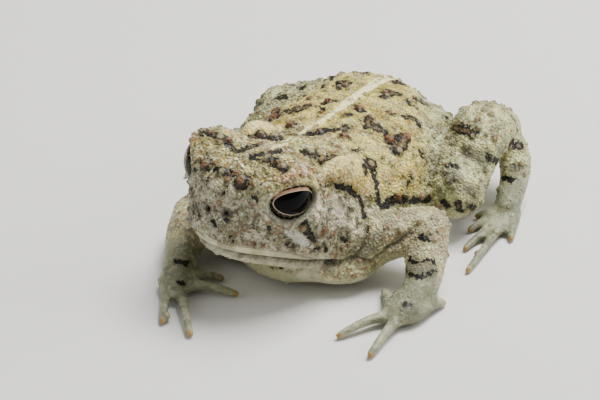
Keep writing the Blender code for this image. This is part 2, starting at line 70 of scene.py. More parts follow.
bl_info = {
    "name": "Fowler's toad",
    "version": (1, 0, 0),
    "blender": (4, 5, 0),
    "location": "3D View > Sidebar > Toad",
    "description": "Builds the skin, warts, eyes and stage of a life-size toad",
    "category": "Object",
}

MM = 0.001
CAD_BOX = [list(corner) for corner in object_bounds()]

# The head's axes: +X its left, +Y back, +Z up, about a point between the eyes.
HEAD_TURN = 8.9
HEAD_RAISE = 22.1
HEAD_ROLL = 1.8
EYE_OUT = 5.9            # sideways to the middle of each eyeball
EYE_OFFSET = Vector((0.0, 1.0, 0.0))
EYE_RADIUS = 4.3

# The camera that fits the photograph: it looks at AIM from this far and this way.
PHOTO = (600, 400)
AIM = Vector((-0.24, 0.69, 10.0))
AZIMUTH = 32.5
ELEVATION = 30.0
DISTANCE = 260.0
ROLL = -2.4
FOCAL = 1778.4           # pixels of the photograph
AIM_PIXEL = (309.4, 168.8)
SENSOR = 36.0

# The stage in metres. Lamps: name, place, power in that of the main one, and size.
LAMPS = (
    ("key", (0.10, 0.22, 0.55), 1.0, 0.3),
    ("fill", (-0.30, -0.35, 0.30), 0.07, 0.4),
    ("rim", (0.40, 0.25, 0.25), 0.18, 0.3),
)
SKY_COLOUR = "#e6e8ea"
SKY_STRENGTH = 0.34
NEAR_CLIP = 0.005

# Nodes that the skin takes the place of.
HEAD_NODES = ("head", "lower_jaw", "tympanum_left", "tympanum_right")
GLAND_NODES = ("parotoid_left", "parotoid_right")
ARM_NODES = ("upper_arm_left", "upper_arm_right", "forearm_left", "forearm_right")
LEG_NODES = ("thigh_left", "thigh_right", "shank_left", "shank_right", "tarsus_left", "tarsus_right")
DIGIT_NODES = ("hand_left", "hand_right", "foot_left", "foot_right")
FLESH = HEAD_NODES + GLAND_NODES + ("trunk",) + ARM_NODES + LEG_NODES + DIGIT_NODES

# The spine's line seen from above, for what is alike on both sides of the body.
SPINE_POINT = Vector((1.82, 0.0, 0.0))
SPINE_ACROSS = Vector((1.0, 0.09, 0.0)).normalized()

# The lids and the pupil are cones from the middle of the eyeball. Each meets a plane at
# RING_DEPTH in an oval: tilt and turn of its axes, then its middle and its half-sizes.
RING_DEPTH = 3.9
LID_TILT = 12.8
LID_TURN = 23.2
LID_OVAL = {1: (0.88, -0.63, 5.25, 2.9), -1: (-1.6, -0.35, 7.4, 3.3)}
RIGHT_EYE_BULGE = Vector((-0.45, -0.1, 0.0))
PUPIL_TILT = 9.4
PUPIL_TURN = 19.2
PUPIL_OVAL = (0.52, -0.32, 4.02, 1.69)
LID_THICK = 0.42         # half the thickness of a lid's rounded edge
LID_BACK = 0.36          # from the opening out to the middle of that edge
LID_OVER = 0.25          # from the eyeball out to the middle of that edge
LID_KNOTS = 48
MOUND_THICK = 0.55       # least thickness of the skin round an eyeball
MOUND_JOINING = 0.8      # how softly that skin, the opening and the lids' edges join the rest
OPENING_EDGE = 0.3
LID_JOINING = 0.35
SOCKET_PLAY = 0.06       # how much narrower than the eyeball its socket is
EYE_WINDOW = 8.0         # how far from the eyeball's middle the lids are shaped

# The mouth line and the upper edge of the upper lip seen from the side, in head axes:
# how far back and how high.
MOUTH_LINE = (
    (-7.0, -9.9), (-3.0, -9.9), (0.0, -9.4), (5.0, -9.35), (9.8, -9.2), (10.8, -8.3), (12.3, -7.0)
)
LIP_EDGE = ((-7.0, -9.0), (-2.5, -8.1), (1.8, -7.95), (5.6, -8.5), (9.0, -9.2))
LIP_END = 9.0            # the lip ends so far back, and the mouth's groove fades out
MOUTH_END = (11.2, 12.6)
MOUTH_NEAR = 0.6         # the mouth's skin is nearer than this to the head's nodes

# Marks as chains of knots: (x, y) pixels of the photograph and half-widths in
# millimetres. First the dark marks; those of the limbs have no like on the other side.
HEAD_MARKS = (
    ((204, 134, 0.35), (213, 136, 0.55), (224, 140, 0.6), (233, 148, 0.5), (237, 152, 0.3)),
    ((238, 152, 0.25), (246, 149, 0.6), (256, 145, 0.55), (261, 143, 0.3)),
    ((217, 170, 0.55), (228, 173, 0.65)),
    ((242.5, 181.5, 1.15),),
    ((261, 159, 0.5), (270, 160, 0.75), (278, 162, 0.5), (283, 167, 0.75)),
    ((309, 154, 1.15), (311, 154, 1.15)),
    ((222, 195, 0.1), (226, 188, 0.15)),
    ((327, 185, 0.3), (338, 185, 0.5), (350, 189, 0.45), (358, 197, 0.4), (363, 208, 0.35), (366, 218, 0.2)),
    ((364, 222, 0.12), (368, 232, 0.12)),
    ((304, 224, 0.35), (308, 232, 0.4), (315, 241, 0.35)),
    ((213, 222, 0.35), (216, 225, 0.2)),
    ((231, 237, 0.25), (233, 241, 0.15)),
    ((268, 226, 0.12), (270, 235, 0.12)),
    ((288, 244, 0.2), (292, 246, 0.25)),
    ((272, 267.5, 0.18), (282, 267.5, 0.18)),
    ((343, 205, 0.15), (348, 214, 0.2)),
    ((336, 235, 0.2), (345, 240, 0.2)),
    ((318, 248, 0.4), (326, 251, 0.35)),
    ((251, 196, 0.25), (258, 200, 0.2)),
    ((196, 205, 0.2), (199, 215, 0.2)),
)
BODY_MARKS = (
    ((251, 137, 0.55), (260, 136, 0.9), (263, 136, 0.85)),
    ((290, 126, 0.9),),
    ((286, 112, 0.55), (297, 110, 0.95), (308, 107, 0.7)),
    ((306, 135, 0.45), (320, 132, 0.6), (336, 130, 0.55), (349, 128, 0.75)),
    ((387, 137, 0.75), (398, 150, 0.95), (406, 137, 0.8), (397, 137, 0.7)),
    ((364, 170, 0.7), (371, 162, 0.85), (373, 172, 0.6), (376, 188, 0.25), (379, 205, 0.3)),
    ((381, 209, 0.4), (394, 200, 0.75), (410, 201, 0.5), (428, 199, 0.45)),
    ((325, 103, 0.7), (334, 101, 0.5)),
    ((343, 86, 0.7), (350, 83, 0.45)),
    ((384, 97, 0.6), (392, 93, 0.4)),
    ((408, 102, 0.6),),
    ((344, 116, 0.3), (350, 114, 0.4)),
    ((390, 114, 0.45),),
    ((366, 128, 0.3), (371, 124, 0.3)),
    ((418, 125, 0.45), (421, 130, 0.3)),
    ((352, 150, 0.25), (357, 151, 0.25)),
    ((419, 150, 0.3), (422, 158, 0.3)),
    ((411, 178, 0.35), (408, 184, 0.25)),
    ((300, 90, 0.35), (306, 86, 0.35)),
)
LIMB_MARKS = (
    ((404, 263, 0.15), (410, 259, 0.3), (416, 262, 0.2), (421, 262, 0.15), (427, 260, 0.3), (435, 264, 0.3)),
    ((406, 272, 0.15), (413, 276, 0.35), (421, 277, 0.3), (429, 275, 0.3), (436, 270, 0.2)),
    ((419, 237, 0.35), (427, 240, 0.5)),
    ((404, 304, 0.15), (411, 305, 0.2)),
    ((453, 127, 0.5), (462, 130, 0.8), (474, 133, 0.6)),
    ((510, 142, 0.5), (520, 146, 0.7)),
    ((446, 168, 0.35), (451, 164, 0.5), (457, 168, 0.4)),
    ((444, 203, 0.45), (448, 206, 0.4)),
    ((457, 205, 0.5), (461, 211, 0.3)),
    ((470, 206, 0.45), (474, 210, 0.4)),
    ((490, 157, 0.6), (497, 163, 0.5)),
    ((176, 262, 0.2), (184, 264, 0.3), (191, 262, 0.2)),
    ((178, 283, 0.2), (183, 282, 0.2)),
    ((502, 177, 0.4), (512, 180, 0.4)),
)
# Soft dusky patches of the limbs.
SMUDGES = (
    ((409, 267, 1.0), (430, 269, 1.0)), ((405, 307, 0.6), (412, 309, 0.8)),
    ((352, 256, 0.8), (363, 250, 1.2), (377, 240, 1.0)), ((442, 172, 0.6), (456, 178, 0.9)),
    ((466, 150, 0.8), (486, 160, 0.9)), ((470, 190, 0.8), (486, 196, 0.6)),
    ((500, 150, 0.6), (516, 168, 0.6)),
)
# The pale line along the spine, the pale crests of the head and the white of the cheek.
STRIPE = ((283, 142, 0.1), (302, 133, 0.25), (320, 122.5, 0.45), (340, 108.5, 0.55), (360, 95, 0.5),
          (377, 84, 0.5), (392, 79, 0.35))
CRESTS = (
    ((297, 141, 0.1), (284, 144, 0.2), (272, 149, 0.2), (262, 156, 0.1)),
    ((236, 158, 0.1), (243, 166, 0.15), (252, 168, 0.1)),
)
WHITE_MARKS = (
    ((288, 233, 0.35), (297, 238, 0.8), (306, 243, 0.7)),
    ((352, 226, 0.3), (357, 234, 0.3)),
)
# Marks of the parts that the photograph hides: how far aside of the spine, how far
# back, and half-widths.
REAR_MARKS = (
    ((3.4, 16.5, 0.7), (4.6, 17.6, 0.8)), ((2.3, 22.0, 0.6), (3.3, 23.0, 0.75)),
    ((7.2, 19.0, 0.6), (8.0, 20.2, 0.75), (7.2, 21.2, 0.6)), ((5.2, 26.0, 0.6), (6.0, 25.4, 0.5)),
    ((1.9, 27.6, 0.4), (2.4, 28.4, 0.5)), ((8.6, 12.0, 0.55), (9.4, 13.2, 0.65)),
)
RIGHT_LEG_MARKS = (
    ((15.0, 24.5, 0.5), (17.5, 25.0, 0.85), (20.0, 24.0, 0.5)), ((14.0, 17.0, 0.5), (16.5, 17.6, 0.8)),
    ((19.5, 18.8, 0.5), (22.5, 18.0, 0.7)), ((15.0, 11.5, 0.4), (17.0, 11.0, 0.7)),
    ((22.0, 12.5, 0.4), (24.0, 12.0, 0.5)),
)
REAR_STRIPE = ((0.0, 8.0, 0.5), (0.0, 16.0, 0.5), (0.1, 22.0, 0.42), (0.0, 27.0, 0.35), (0.0, 30.5, 0.2))

# Small warts strewn between the others: least and largest radius, and least gap.
SMALL_WART = (0.32, 0.62, 0.12)
SMALL_WART_RUST = 0.8    # most rust on them
WART_TRIES = 8           # places tried for each of them
WART_SPREAD = 1.25       # a wart's foot and its height, in its radii
WART_HEIGHT = 0.75
WART_RUST = 1.6          # how fast the rust sets in from the foot
LIKE_OFF = 2.0           # a wart farther than this from the other side's skin has no like
HEAD_END = 10.0          # warts farther back than this are the trunk's

# Warts as pixels of the photograph, radius in millimetres and how rusty they are.
WARTS = (
    (206, 167, 0.45, 1.0), (217, 164, 0.5, 0.9), (223, 172, 0.7, 0.2), (242.5, 181, 1.0, 0.45),
    (253, 184, 0.4, 0.9), (268, 159.5, 0.8, 0.25), (282.5, 167, 0.75, 0.5), (310, 154, 1.05, 0.3),
    (261.5, 135, 0.75, 0.6), (290.3, 125.5, 0.8, 0.8), (249, 147, 0.55, 0.3), (220, 143, 0.5, 0.6),
    (229, 140, 0.55, 0.9), (211, 133, 0.45, 0.7), (389, 139.5, 0.8, 0.9), (406, 137.6, 0.8, 1.0),
    (398.4, 151.5, 0.75, 0.4), (370, 165, 0.8, 0.5), (397.5, 196, 0.65, 0.9), (408, 195.5, 0.75, 0.25),
    (421, 196, 0.7, 0.8), (297, 109, 0.8, 0.5), (287, 111, 0.55, 0.4), (307, 106, 0.6, 0.4),
    (328.6, 101.5, 0.7, 0.8), (344, 117, 0.45, 0.9), (370, 117, 0.5, 0.8), (389, 113.4, 0.5, 0.9),
    (346, 85.5, 0.6, 0.7), (386.4, 96.5, 0.65, 0.6), (408.8, 101.4, 0.6, 0.4), (349, 128, 0.6, 0.3),
    (311.4, 171, 0.5, 0.9), (302, 175, 0.5, 0.8), (293, 178.5, 0.5, 0.7), (284, 181.5, 0.45, 0.6),
    (324, 229.5, 0.75, 0.8), (331.8, 233.5, 0.7, 0.8), (328, 217, 0.5, 0.5), (316, 222, 0.55, 0.3),
    (343, 226, 0.5, 0.3), (337, 244, 0.5, 0.2), (350, 245, 0.5, 0.2), (320, 236, 0.45, 0.6),
    (346, 196, 0.4, 0.2), (420, 131, 0.5, 0.6), (434, 137, 0.5, 0.5), (417, 165, 0.5, 0.4),
    (404, 175, 0.45, 0.3), (425, 178, 0.45, 0.5), (384, 180, 0.45, 0.3), (352, 163, 0.4, 0.6),
    (330, 205, 0.6, 0.2), (339, 212, 0.5, 0.3), (352, 207, 0.6, 0.0), (358, 221, 0.65, 0.0),
    (360, 235, 0.65, 0.0), (352, 238, 0.55, 0.0), (344, 249, 0.5, 0.1), (334, 251, 0.5, 0.0),
    (322, 221, 0.5, 0.5), (312, 214, 0.4, 0.2), (349, 217, 0.5, 0.0), (349, 229, 0.55, 0.1),
    (339, 226, 0.5, 0.4), (326, 241, 0.5, 0.4), (357, 248, 0.5, 0.0),
    (337, 152, 0.35, 0.6), (360, 99, 0.35, 0.5), (333, 112, 0.35, 0.6), (279, 150, 0.5, 0.4),
    (290, 148, 0.45, 0.5), (296, 160, 0.4, 0.3), (256, 172, 0.35, 0.3), (246, 163, 0.35, 0.3),
)
NOSTRILS = ((226, 213.5), (207.5, 208.5))

# Creases of the skin round the cheek, at the arm's root and at the flank, given as marks are; painted shade
# darkens them.
CREASES = (
    ((366, 218, 0), (366.5, 232, 0), (364.5, 245, 0), (356, 257, 0), (341, 262, 0), (326, 262.5, 0)),
    ((356, 258, 0), (372, 262, 0), (386, 252, 0)),
    ((386, 249, 0), (402, 240, 0), (411, 231, 0), (418, 224, 0)),
    ((441, 145, 0), (437, 158, 0), (432, 172, 0), (430, 186, 0)),
)

# The rusty band along the upper lid, the parotoid glands and the eardrums, in head axes.
BROW = ((8.0, -3.2, 2.9, 0.8), (8.7, -1.7, 3.5, 0.8), (8.7, 1.2, 4.1, 0.8), (7.9, 4.4, 3.9, 0.8))
GLAND_PLACE = Vector((8.4, 11.9, 3.5))
GLAND_SIZE = (3.0, 5.3, 2.6)
GLAND_TURN = (-20.0, 26.0, -8.0)
GLAND_SOFTNESS = 1.5     # how far the glands' forms are rounded
EARDRUM_PLACE = Vector((10.2, 9.0, -1.3))
EARDRUM_RADIUS = 1.4

# Granules, and their map for baking, where a chart spans CHART millimetres of the skin
# and a granule's patch is BAKE_PATCH across.
GRANULE_RADIUS = 0.17
GRANULE_SIZES = (0.5, 1.35)   # least and largest granule, in radii
GRANULE_RISE = 0.62      # height of a granule in its radii
GRANULE_GLINT = 0.2      # most that a granule is paler than the skin
MOST_DENSE = 2e7         # granules on a square metre before those too near each other go
CHART = 72.0
BAKE_PATCH = 0.003
MOST_TRIANGLES = 200000

# Fine relief of the skin as ribs and furrows along lines: height, distance from the
# line and half-width.
MOUTH_GROOVE = (-0.6, 0.0, 0.32)
LIP_SWELL = (0.2, 0.7, 0.42)
LIP_FURROW = (-0.12, 0.0, 0.22)
DRUM_RING = (0.12, 0.0, 0.22)
GLAND_FURROW = (-0.08, 0.35, 0.35)
CREASE_FURROW = (-0.6, 0.0, 0.45)
NOSTRIL_PIT = (-0.6, 0.0, 0.42)
NOSTRIL_RIM = (0.14, 0.75, 0.25)
DRUM_DEPTH = 0.14
GLAND_SWELL = 0.05

# Regions by their nodes, and the distances from them between which a region fades.
NODE_REGIONS = (
    ("head", HEAD_NODES, 0.2, 2.5),
    ("arm", ARM_NODES + DIGIT_NODES[:2], 0.0, 2.4),
    ("leg", LEG_NODES + DIGIT_NODES[2:], 0.0, 4.0),
    ("digit", DIGIT_NODES, 0.2, 3.6),
)
CHEST_RISE = (10.5, 6.0)   # heights between which the throat and the chest set in

# Distances in millimetres.
REACH = 4.0              # distances to nodes are looked for up to here
FAR = 3.0                # distances to marks are kept up to here
LIKE_APART = 1.5         # a mark nearer its like than this has none
MARGIN = 3.0             # space of the grid round the toad
DIGIT_SOFTNESS = 0.3     # how far the forms of fingers and toes are rounded
DIGIT_FADE = (0.2, 1.4)  # distances from them between which the rounding changes
GLAND_FADE = (1.9, 0.2)  # the same for the glands
BAND = 2.0               # how far from each node its field of distances reaches
OVERHEAD = 40.0          # height from which the hidden parts' marks are laid on
JOINING = 0.7            # how far from each other nodes begin to join
TIP_APART = 2.0          # no point within this distance of a digit's end lies farther out
TIP_LEAST = 4.0          # least distance from the hand's middle to a digit's end
TIP_HEIGHT = 1.0         # digits' ends lie lower than this
TIP_ROUND = 1.7          # and are looked for among the points lower than this


def colour(code):
    """An sRGB hex colour as linear RGBA."""
    channels = np.array([int(code[i:i + 2], 16) / 255 for i in (1, 3, 5)])
    low = channels / 12.92
    high = ((channels + 0.055) / 1.055) ** 2.4
    return (*np.where(channels <= 0.04045, low, high).tolist(), 1.0)


def head_axes():
    """The matrix from head axes to the frame, both in millimetres."""
    middles = [(low + high) / 2 / MM for low, high in (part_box("eye_left"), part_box("eye_right"))]
    angles = [math.radians(angle) for angle in (-HEAD_RAISE, HEAD_ROLL, -HEAD_TURN)]
    turn = Euler(angles, "YXZ").to_matrix()
    centre = (middles[0] + middles[1]) / 2 - turn @ EYE_OFFSET
    return Matrix.Translation(centre) @ turn.to_4x4()


HEAD = head_axes()


def smooth_step(low, high, value):
    """0 below low, 1 above high and a smooth slope between; high may be the lower one."""
    part = np.clip((value - low) / (high - low), 0.0, 1.0)
    return part * part * (3.0 - 2.0 * part)


def camera_axes():
    """The camera's right, up and back, turned so that AIM falls on its pixel."""
    around, above, roll = (math.radians(angle) for angle in (AZIMUTH, ELEVATION, ROLL))
    back = Vector((math.sin(around) * math.cos(above), -math.cos(around) * math.cos(above), math.sin(above)))
    level = Vector((math.cos(around), math.sin(around), 0.0))
    right = level * math.cos(roll) + back.cross(level) * math.sin(roll)
    up = back.cross(right)
    across = (AIM_PIXEL[0] - PHOTO[0] / 2) / FOCAL
    down = (AIM_PIXEL[1] - PHOTO[1] / 2) / FOCAL
    turned = (back + across * right - down * up).normalized()
    side = (right - turned * right.dot(turned)).normalized()
    return side, turned.cross(side), turned, AIM + DISTANCE * back


RIGHT, UP, BACK, EYE_POINT = camera_axes()


def sight_line(x, y):
    """The direction in which the camera sees a pixel of the photograph."""
    return (-BACK + RIGHT * (x - PHOTO[0] / 2) / FOCAL - UP * (y - PHOTO[1] / 2) / FOCAL).normalized()


def node_surface(name):
    """A node's points in millimetres, each once, and its triangles."""
    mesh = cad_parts[name].data
    mesh.calc_loop_triangles()
    points = np.empty(len(mesh.vertices) * 3, np.float32)
    mesh.vertices.foreach_get("co", points)
    faces = np.empty(len(mesh.loop_triangles) * 3, np.int32)
    mesh.loop_triangles.foreach_get("vertices", faces)
    points, index = np.unique((points.reshape(-1, 3) / MM).round(4), axis=0, return_inverse=True)
    return points.astype(np.float32), index.reshape(-1)[faces].reshape(-1, 3)


def tree_of(names):
    """A search tree over the surfaces of some nodes."""
    points = []
    faces = []
    for name in names:
        found, triangles = node_surface(name)
        faces += (triangles + len(points)).tolist()
        points += found.tolist()
    return BVHTree.FromPolygons(points, faces)


def near_distance(names, points):
    """Each point's distance to the surfaces of some nodes, at most REACH."""
    tree = tree_of(names)
    found = [tree.find_nearest(Vector(point), REACH)[3] for point in points]
    return np.array([REACH if value is None else value for value in found])


# The skin as a field of distances


def soft_min(first, second, reach):
    """The lower of two fields, rounded where they meet within reach."""
    part = np.clip(reach - np.abs(first - second), 0.0, None) / reach
    return np.minimum(first, second) - part * part * reach / 4


def soft_cut(field, tool, reach):
    """The field without what lies inside a tool, the edge rounded within reach."""
    return -soft_min(-field, tool, reach)


def blurred(field, reach):
    """The field averaged over a bell of this reach, in grid steps."""
    size = int(3 * reach) + 1
    taps = np.exp(-0.5 * (np.arange(-size, size + 1) / reach) ** 2)
    taps /= taps.sum()
    for axis in range(3):
        widths = [(0, 0)] * 3
        widths[axis] = (size, size)
        padded = np.pad(field, widths, mode="edge")
        total = np.zeros_like(field)
        for step, tap in enumerate(taps.astype(np.float32)):
            window = [slice(None)] * 3
            window[axis] = slice(step, step + field.shape[axis])
            total += tap * padded[tuple(window)]
        field = total
    return field


def oval_field(points, centre, radii, turn):
    """Distance to an ellipsoid, nearly, at each point; turn in degrees."""
    spin = np.array(Euler([math.radians(angle) for angle in turn], "XYZ").to_matrix())
    local = (points - np.array(centre)) @ spin
    near = np.linalg.norm(local / radii, axis=-1)
    far = np.linalg.norm(local / np.square(radii), axis=-1)
    return near * (near - 1.0) / np.maximum(far, 1e-6)


def eye_frame(side, tilt, turn):
    """The middle of an eyeball and the axes of its lids or its pupil, in head axes."""
    angles = [math.radians(angle) for angle in (tilt, 0, -side * turn)]
    return Vector((side * EYE_OUT, EYE_OFFSET.y, EYE_OFFSET.z)), Euler(angles, "XYZ").to_matrix()


def lid_line(side):
    """A closed line along the edge of an eye's lids, and the eyeball's middle, in head axes."""
    centre, turn = eye_frame(side, LID_TILT, LID_TURN)
    back, rise, length, height = LID_OVAL[side]
    line = []
    for step in range(LID_KNOTS + 1):
        angle = math.tau * (step % LID_KNOTS) / LID_KNOTS
        across = back + (length + LID_BACK) * math.cos(angle)
        local = Vector((side * RING_DEPTH, across, rise + (height + LID_BACK) * math.sin(angle)))
        line.append(centre + (turn @ local).normalized() * (EYE_RADIUS + LID_OVER))
    return np.array(line), np.array(centre)


def opening_field(points, side):
    """Distance, nearly, to the cone that parts an eye's lids; below 0 between them."""
    centre, turn = eye_frame(side, LID_TILT, LID_TURN)
    local = (points - np.array(centre)) @ np.array(turn)
    depth = side * local[..., 0]
    share = np.maximum(depth, 0.5) / RING_DEPTH
    back, rise, length, height = LID_OVAL[side]
    across = local[..., 1] / share - back
    up = local[..., 2] / share - rise
    oval = np.sqrt((across / length) ** 2 + (up / height) ** 2)
    slope = np.sqrt((across / length ** 2) ** 2 + (up / height ** 2) ** 2) / np.maximum(oval, 1e-6)
    return np.maximum((oval - 1.0) / np.maximum(slope, 1e-6) * share, 1.0 - depth)


def line_distance(points, line):
    """Each point's distance to a chain of knots (x, y, z), which may have half-widths too."""
    best = np.full(points.shape[:-1], np.inf)
    knots = [*line, line[0]] if len(line) == 1 else line
    for first, second in zip(knots, knots[1:]):
        along = second[:3] - first[:3]
        offset = points - first[:3]
        part = np.clip(offset @ along / max(along @ along, 1e-9), 0.0, 1.0)
        width = first[3] + part * (second[3] - first[3]) if len(first) > 3 else 0.0
        away = np.linalg.norm(offset - part[..., None] * along, axis=-1)
        best = np.minimum(best, away - width)
    return best


def nearest(points, lines):
    """Each point's distance to the nearest of some chains, at most FAR."""
    best = np.full(len(points), FAR)
    for line in lines:
        best = np.minimum(best, line_distance(points, line))
    return best


def spot_distance(points, spots):
    """Each point's distance to the nearest of some spots."""
    return np.min([np.linalg.norm(points - np.array(spot), axis=1) for spot in spots], axis=0)


def ridge(distance, form):
    """Height of a rounded rib, or depth of a furrow, at some distance from its line."""
    height, place, width = form
    return height * np.exp(-((distance - place) / width) ** 2)


def body_field(settings):
    """Distances to the whole skin on a grid, with the grid's step and low corner."""
    step = settings.grain / MM
    low = np.floor((np.array(CAD_BOX[0]) / MM - MARGIN) / step).astype(int)
    high = np.ceil((np.array(CAD_BOX[1]) / MM + MARGIN) / step).astype(int)
    shape = tuple(high - low + 1)
    band = BAND / step
    place = openvdb.createLinearTransform(step)
    body = np.full(shape, band * step, np.float32)
    thin = body.copy()
    gland = body.copy()
    for name in FLESH:
        points, faces = node_surface(name)
        grid = openvdb.FloatGrid.createLevelSetFromPolygons(
            points, triangles=faces.astype(np.uint32), transform=place, halfWidth=band
        )
        field = np.empty(shape, np.float32)
        grid.copyToArray(field, ijk=tuple(int(value) for value in low))
        body = soft_min(body, field, JOINING)
        if name in GLAND_NODES:
            gland = np.minimum(gland, field)
        if name in DIGIT_NODES:
            thin = np.minimum(thin, field)
    softness = settings.softness / MM / step
    share = smooth_step(*DIGIT_FADE, thin)
    soft = blurred(body, softness)
    soft += (blurred(body, GLAND_SOFTNESS / step) - soft) * smooth_step(*GLAND_FADE, gland)
    body = blurred(body, DIGIT_SOFTNESS / step) * (1.0 - share) + soft * share
    return body.astype(np.float32), step, low


def shape_head(body, step, low):
    """Cut the eyes' openings in the skin and give them thick lids."""
    back = np.array(HEAD.to_3x3())
    origin = np.array(HEAD.translation)
    for side in (1, -1):
        line, centre = lid_line(side)
        middle = origin + back @ centre
        first = np.floor((middle - EYE_WINDOW) / step).astype(int) - low
        last = np.ceil((middle + EYE_WINDOW) / step).astype(int) - low
        first = np.maximum(first, 0)
        last = np.minimum(last, np.array(body.shape))
        window = tuple(slice(int(a), int(b)) for a, b in zip(first, last))
        axes = [(np.arange(a, b) + start) * step for a, b, start in zip(first, last, low)]
        points = (np.stack(np.meshgrid(*axes, indexing="ij"), axis=-1) - origin) @ back
        part = body[window]
        away = np.linalg.norm(points - centre, axis=-1)
        part = soft_min(part, away - (EYE_RADIUS + MOUND_THICK), MOUND_JOINING)
        part = soft_cut(part, opening_field(points, side), OPENING_EDGE)
        part = soft_min(part, line_distance(points, line) - LID_THICK, LID_JOINING)
        body[window] = np.maximum(part, EYE_RADIUS - SOCKET_PLAY - away)
    return body


def largest_shell(points, quads):
    """Only the largest connected surface."""
    bm = bmesh.new()
    verts = [bm.verts.new(point) for point in points]
    for quad in quads:
        bm.faces.new([verts[index] for index in quad])
    bm.verts.index_update()
    seen = set()
    best = []
    for start in bm.verts:
        if start.index in seen:
            continue
        seen.add(start.index)
        group = [start]
        for vert in group:
            for edge in vert.link_edges:
                other = edge.other_vert(vert)
                if other.index not in seen:
                    seen.add(other.index)
                    group.append(other)
        if len(group) > len(best):
            best = group
    keep = set(vert.index for vert in best)
    bmesh.ops.delete(bm, geom=[vert for vert in bm.verts if vert.index not in keep], context="VERTS")
    bmesh.ops.recalc_face_normals(bm, faces=bm.faces)
    return bm


def read_mesh(mesh):
    """Points and normals of a mesh, in millimetres."""
    points = np.empty(len(mesh.vertices) * 3, np.float32)
    mesh.vertices.foreach_get("co", points)
    normals = np.empty(len(mesh.vertices) * 3, np.float32)
    mesh.vertex_normals.foreach_get("vector", normals)
    return points.reshape(-1, 3).astype(float) / MM, normals.reshape(-1, 3).astype(float)


def write_points(mesh, points):
    """Move a mesh's points to these, in millimetres."""
    mesh.vertices.foreach_set("co", (points * MM).astype(np.float32).ravel())
    mesh.update()


def seen_point(tree, x, y):
    """Where the camera's line through a pixel of the photograph meets the skin."""
    return tree.ray_cast(EYE_POINT, sight_line(x, y))[0]


def mirrored(point, of_head):
    """The like of a point on the toad's other side."""
    if of_head:
        local = HEAD.inverted() @ point
        local.x = -local.x
        return HEAD @ local
    away = (point - SPINE_POINT).dot(SPINE_ACROSS)
    return point - 2.0 * away * SPINE_ACROSS


def placed_strokes(tree, strokes, of_head, both=True):
    """Strokes of the photograph as chains of knots on the skin, and their likes."""
    found = []
    for stroke in strokes:
        knots = [(seen_point(tree, x, y), width) for x, y, width in stroke]
        knots = [(spot, width) for spot, width in knots if spot is not None]
        if not knots:
            continue
        found.append(np.array([(*spot, width) for spot, width in knots]))
        if not both:
            continue
        others = [(tree.find_nearest(mirrored(spot, of_head))[0], width) for spot, width in knots]
        if (others[0][0] - knots[0][0]).length > LIKE_APART:
            found.append(np.array([(*spot, width) for spot, width in others]))
    return found


def rear_strokes(tree, strokes, sides=(1, -1)):
    """Strokes given by how far aside of the spine and how far back, laid on from above."""
    along = Vector((-SPINE_ACROSS.y, SPINE_ACROSS.x, 0.0))
    down = Vector((0.0, 0.0, -1.0))
    found = []
    for stroke in strokes:
        for side in sides:
            knots = []
            for aside, back, width in stroke:
                spot = SPINE_POINT + SPINE_ACROSS * side * aside + along * back - down * OVERHEAD
                spot = tree.ray_cast(spot, down)[0]
                if spot is not None:
                    knots.append((*spot, width))
            if knots:
                found.append(np.array(knots))
    return found


def placed_warts(tree):
    """Centres, radii and rustiness of the photograph's warts and their likes."""
    found = []
    for x, y, radius, rust in WARTS:
        spot = seen_point(tree, x, y)
        if spot is None:
            continue
        found.append((spot, radius, rust))
        for_head = (HEAD.inverted() @ spot).y < HEAD_END
        other, _, _, distance = tree.find_nearest(mirrored(spot, for_head))
        if (other - spot).length > LIKE_APART and distance < LIKE_OFF:
            found.append((other, radius, rust))
    return found


def strewn_warts(points, weight, taken, count, seed):
    """Small warts at random places of the skin, apart from each other and the large."""
    least, largest, gap = SMALL_WART
    draw = np.random.default_rng(seed)
    order = draw.choice(len(points), size=count * WART_TRIES, p=weight / weight.sum())
    chosen = [np.array((*spot, radius)) for spot, radius, _ in taken]
    found = []
    for index in order:
        radius = draw.uniform(least, largest)
        spot = points[index]
        reach = np.array([knot[3] for knot in chosen]) + radius + gap
        gaps = np.linalg.norm(np.array([knot[:3] for knot in chosen]) - spot, axis=1)
        if (gaps < reach).any():
            continue
        chosen.append(np.array((*spot, radius)))
        found.append((Vector(spot), radius, draw.random() ** 3 * SMALL_WART_RUST))
        if len(found) == count:
            break
    return found


def raise_warts(points, normals, warts):
    """Lift the skin over each wart; returns the new points and each point's wart values."""
    finder = KDTree(len(points))
    for index, point in enumerate(points):
        finder.insert(point, index)
    finder.balance()
    lift = np.zeros(len(points))
    dome = np.zeros(len(points))
    rust = np.zeros(len(points))
    for spot, radius, rusty in warts:
        for _, index, distance in finder.find_range(spot, radius * WART_SPREAD):
            part = 1.0 - (distance / (radius * WART_SPREAD)) ** 2
            height = WART_HEIGHT * radius * part * part * (3.0 - 2.0 * part)
            lift[index] = max(lift[index], height)
            dome[index] = max(dome[index], part)
            rust[index] = max(rust[index], rusty * min(1.0, part * WART_RUST))
    return points + normals * lift[:, None], dome, rust


def side_distance(local, line):
    """Signed distance above a line that is drawn from the side, at points in head axes."""
    flat = local * (0.0, 1.0, 1.0)
    knots = [np.array((0.0, back, rise, 0.0)) for back, rise in line]
    above = np.sign(local[:, 2] - np.interp(local[:, 1], *zip(*line)))
    return line_distance(flat, knots) * above


def digit_tips(name):
    """The ends of a hand's or foot's digits: farther from its middle than all round them."""
    points = node_surface(name)[0]
    low = points[points[:, 2] < TIP_ROUND]
    away = np.linalg.norm(low - points.mean(axis=0), axis=1)
    tips = []
    for spot, distance in zip(low, away):
        near = np.linalg.norm(low - spot, axis=1) < TIP_APART
        if spot[2] < TIP_HEIGHT and distance > TIP_LEAST and distance >= away[near].max():
            tips.append(spot)
    return tips


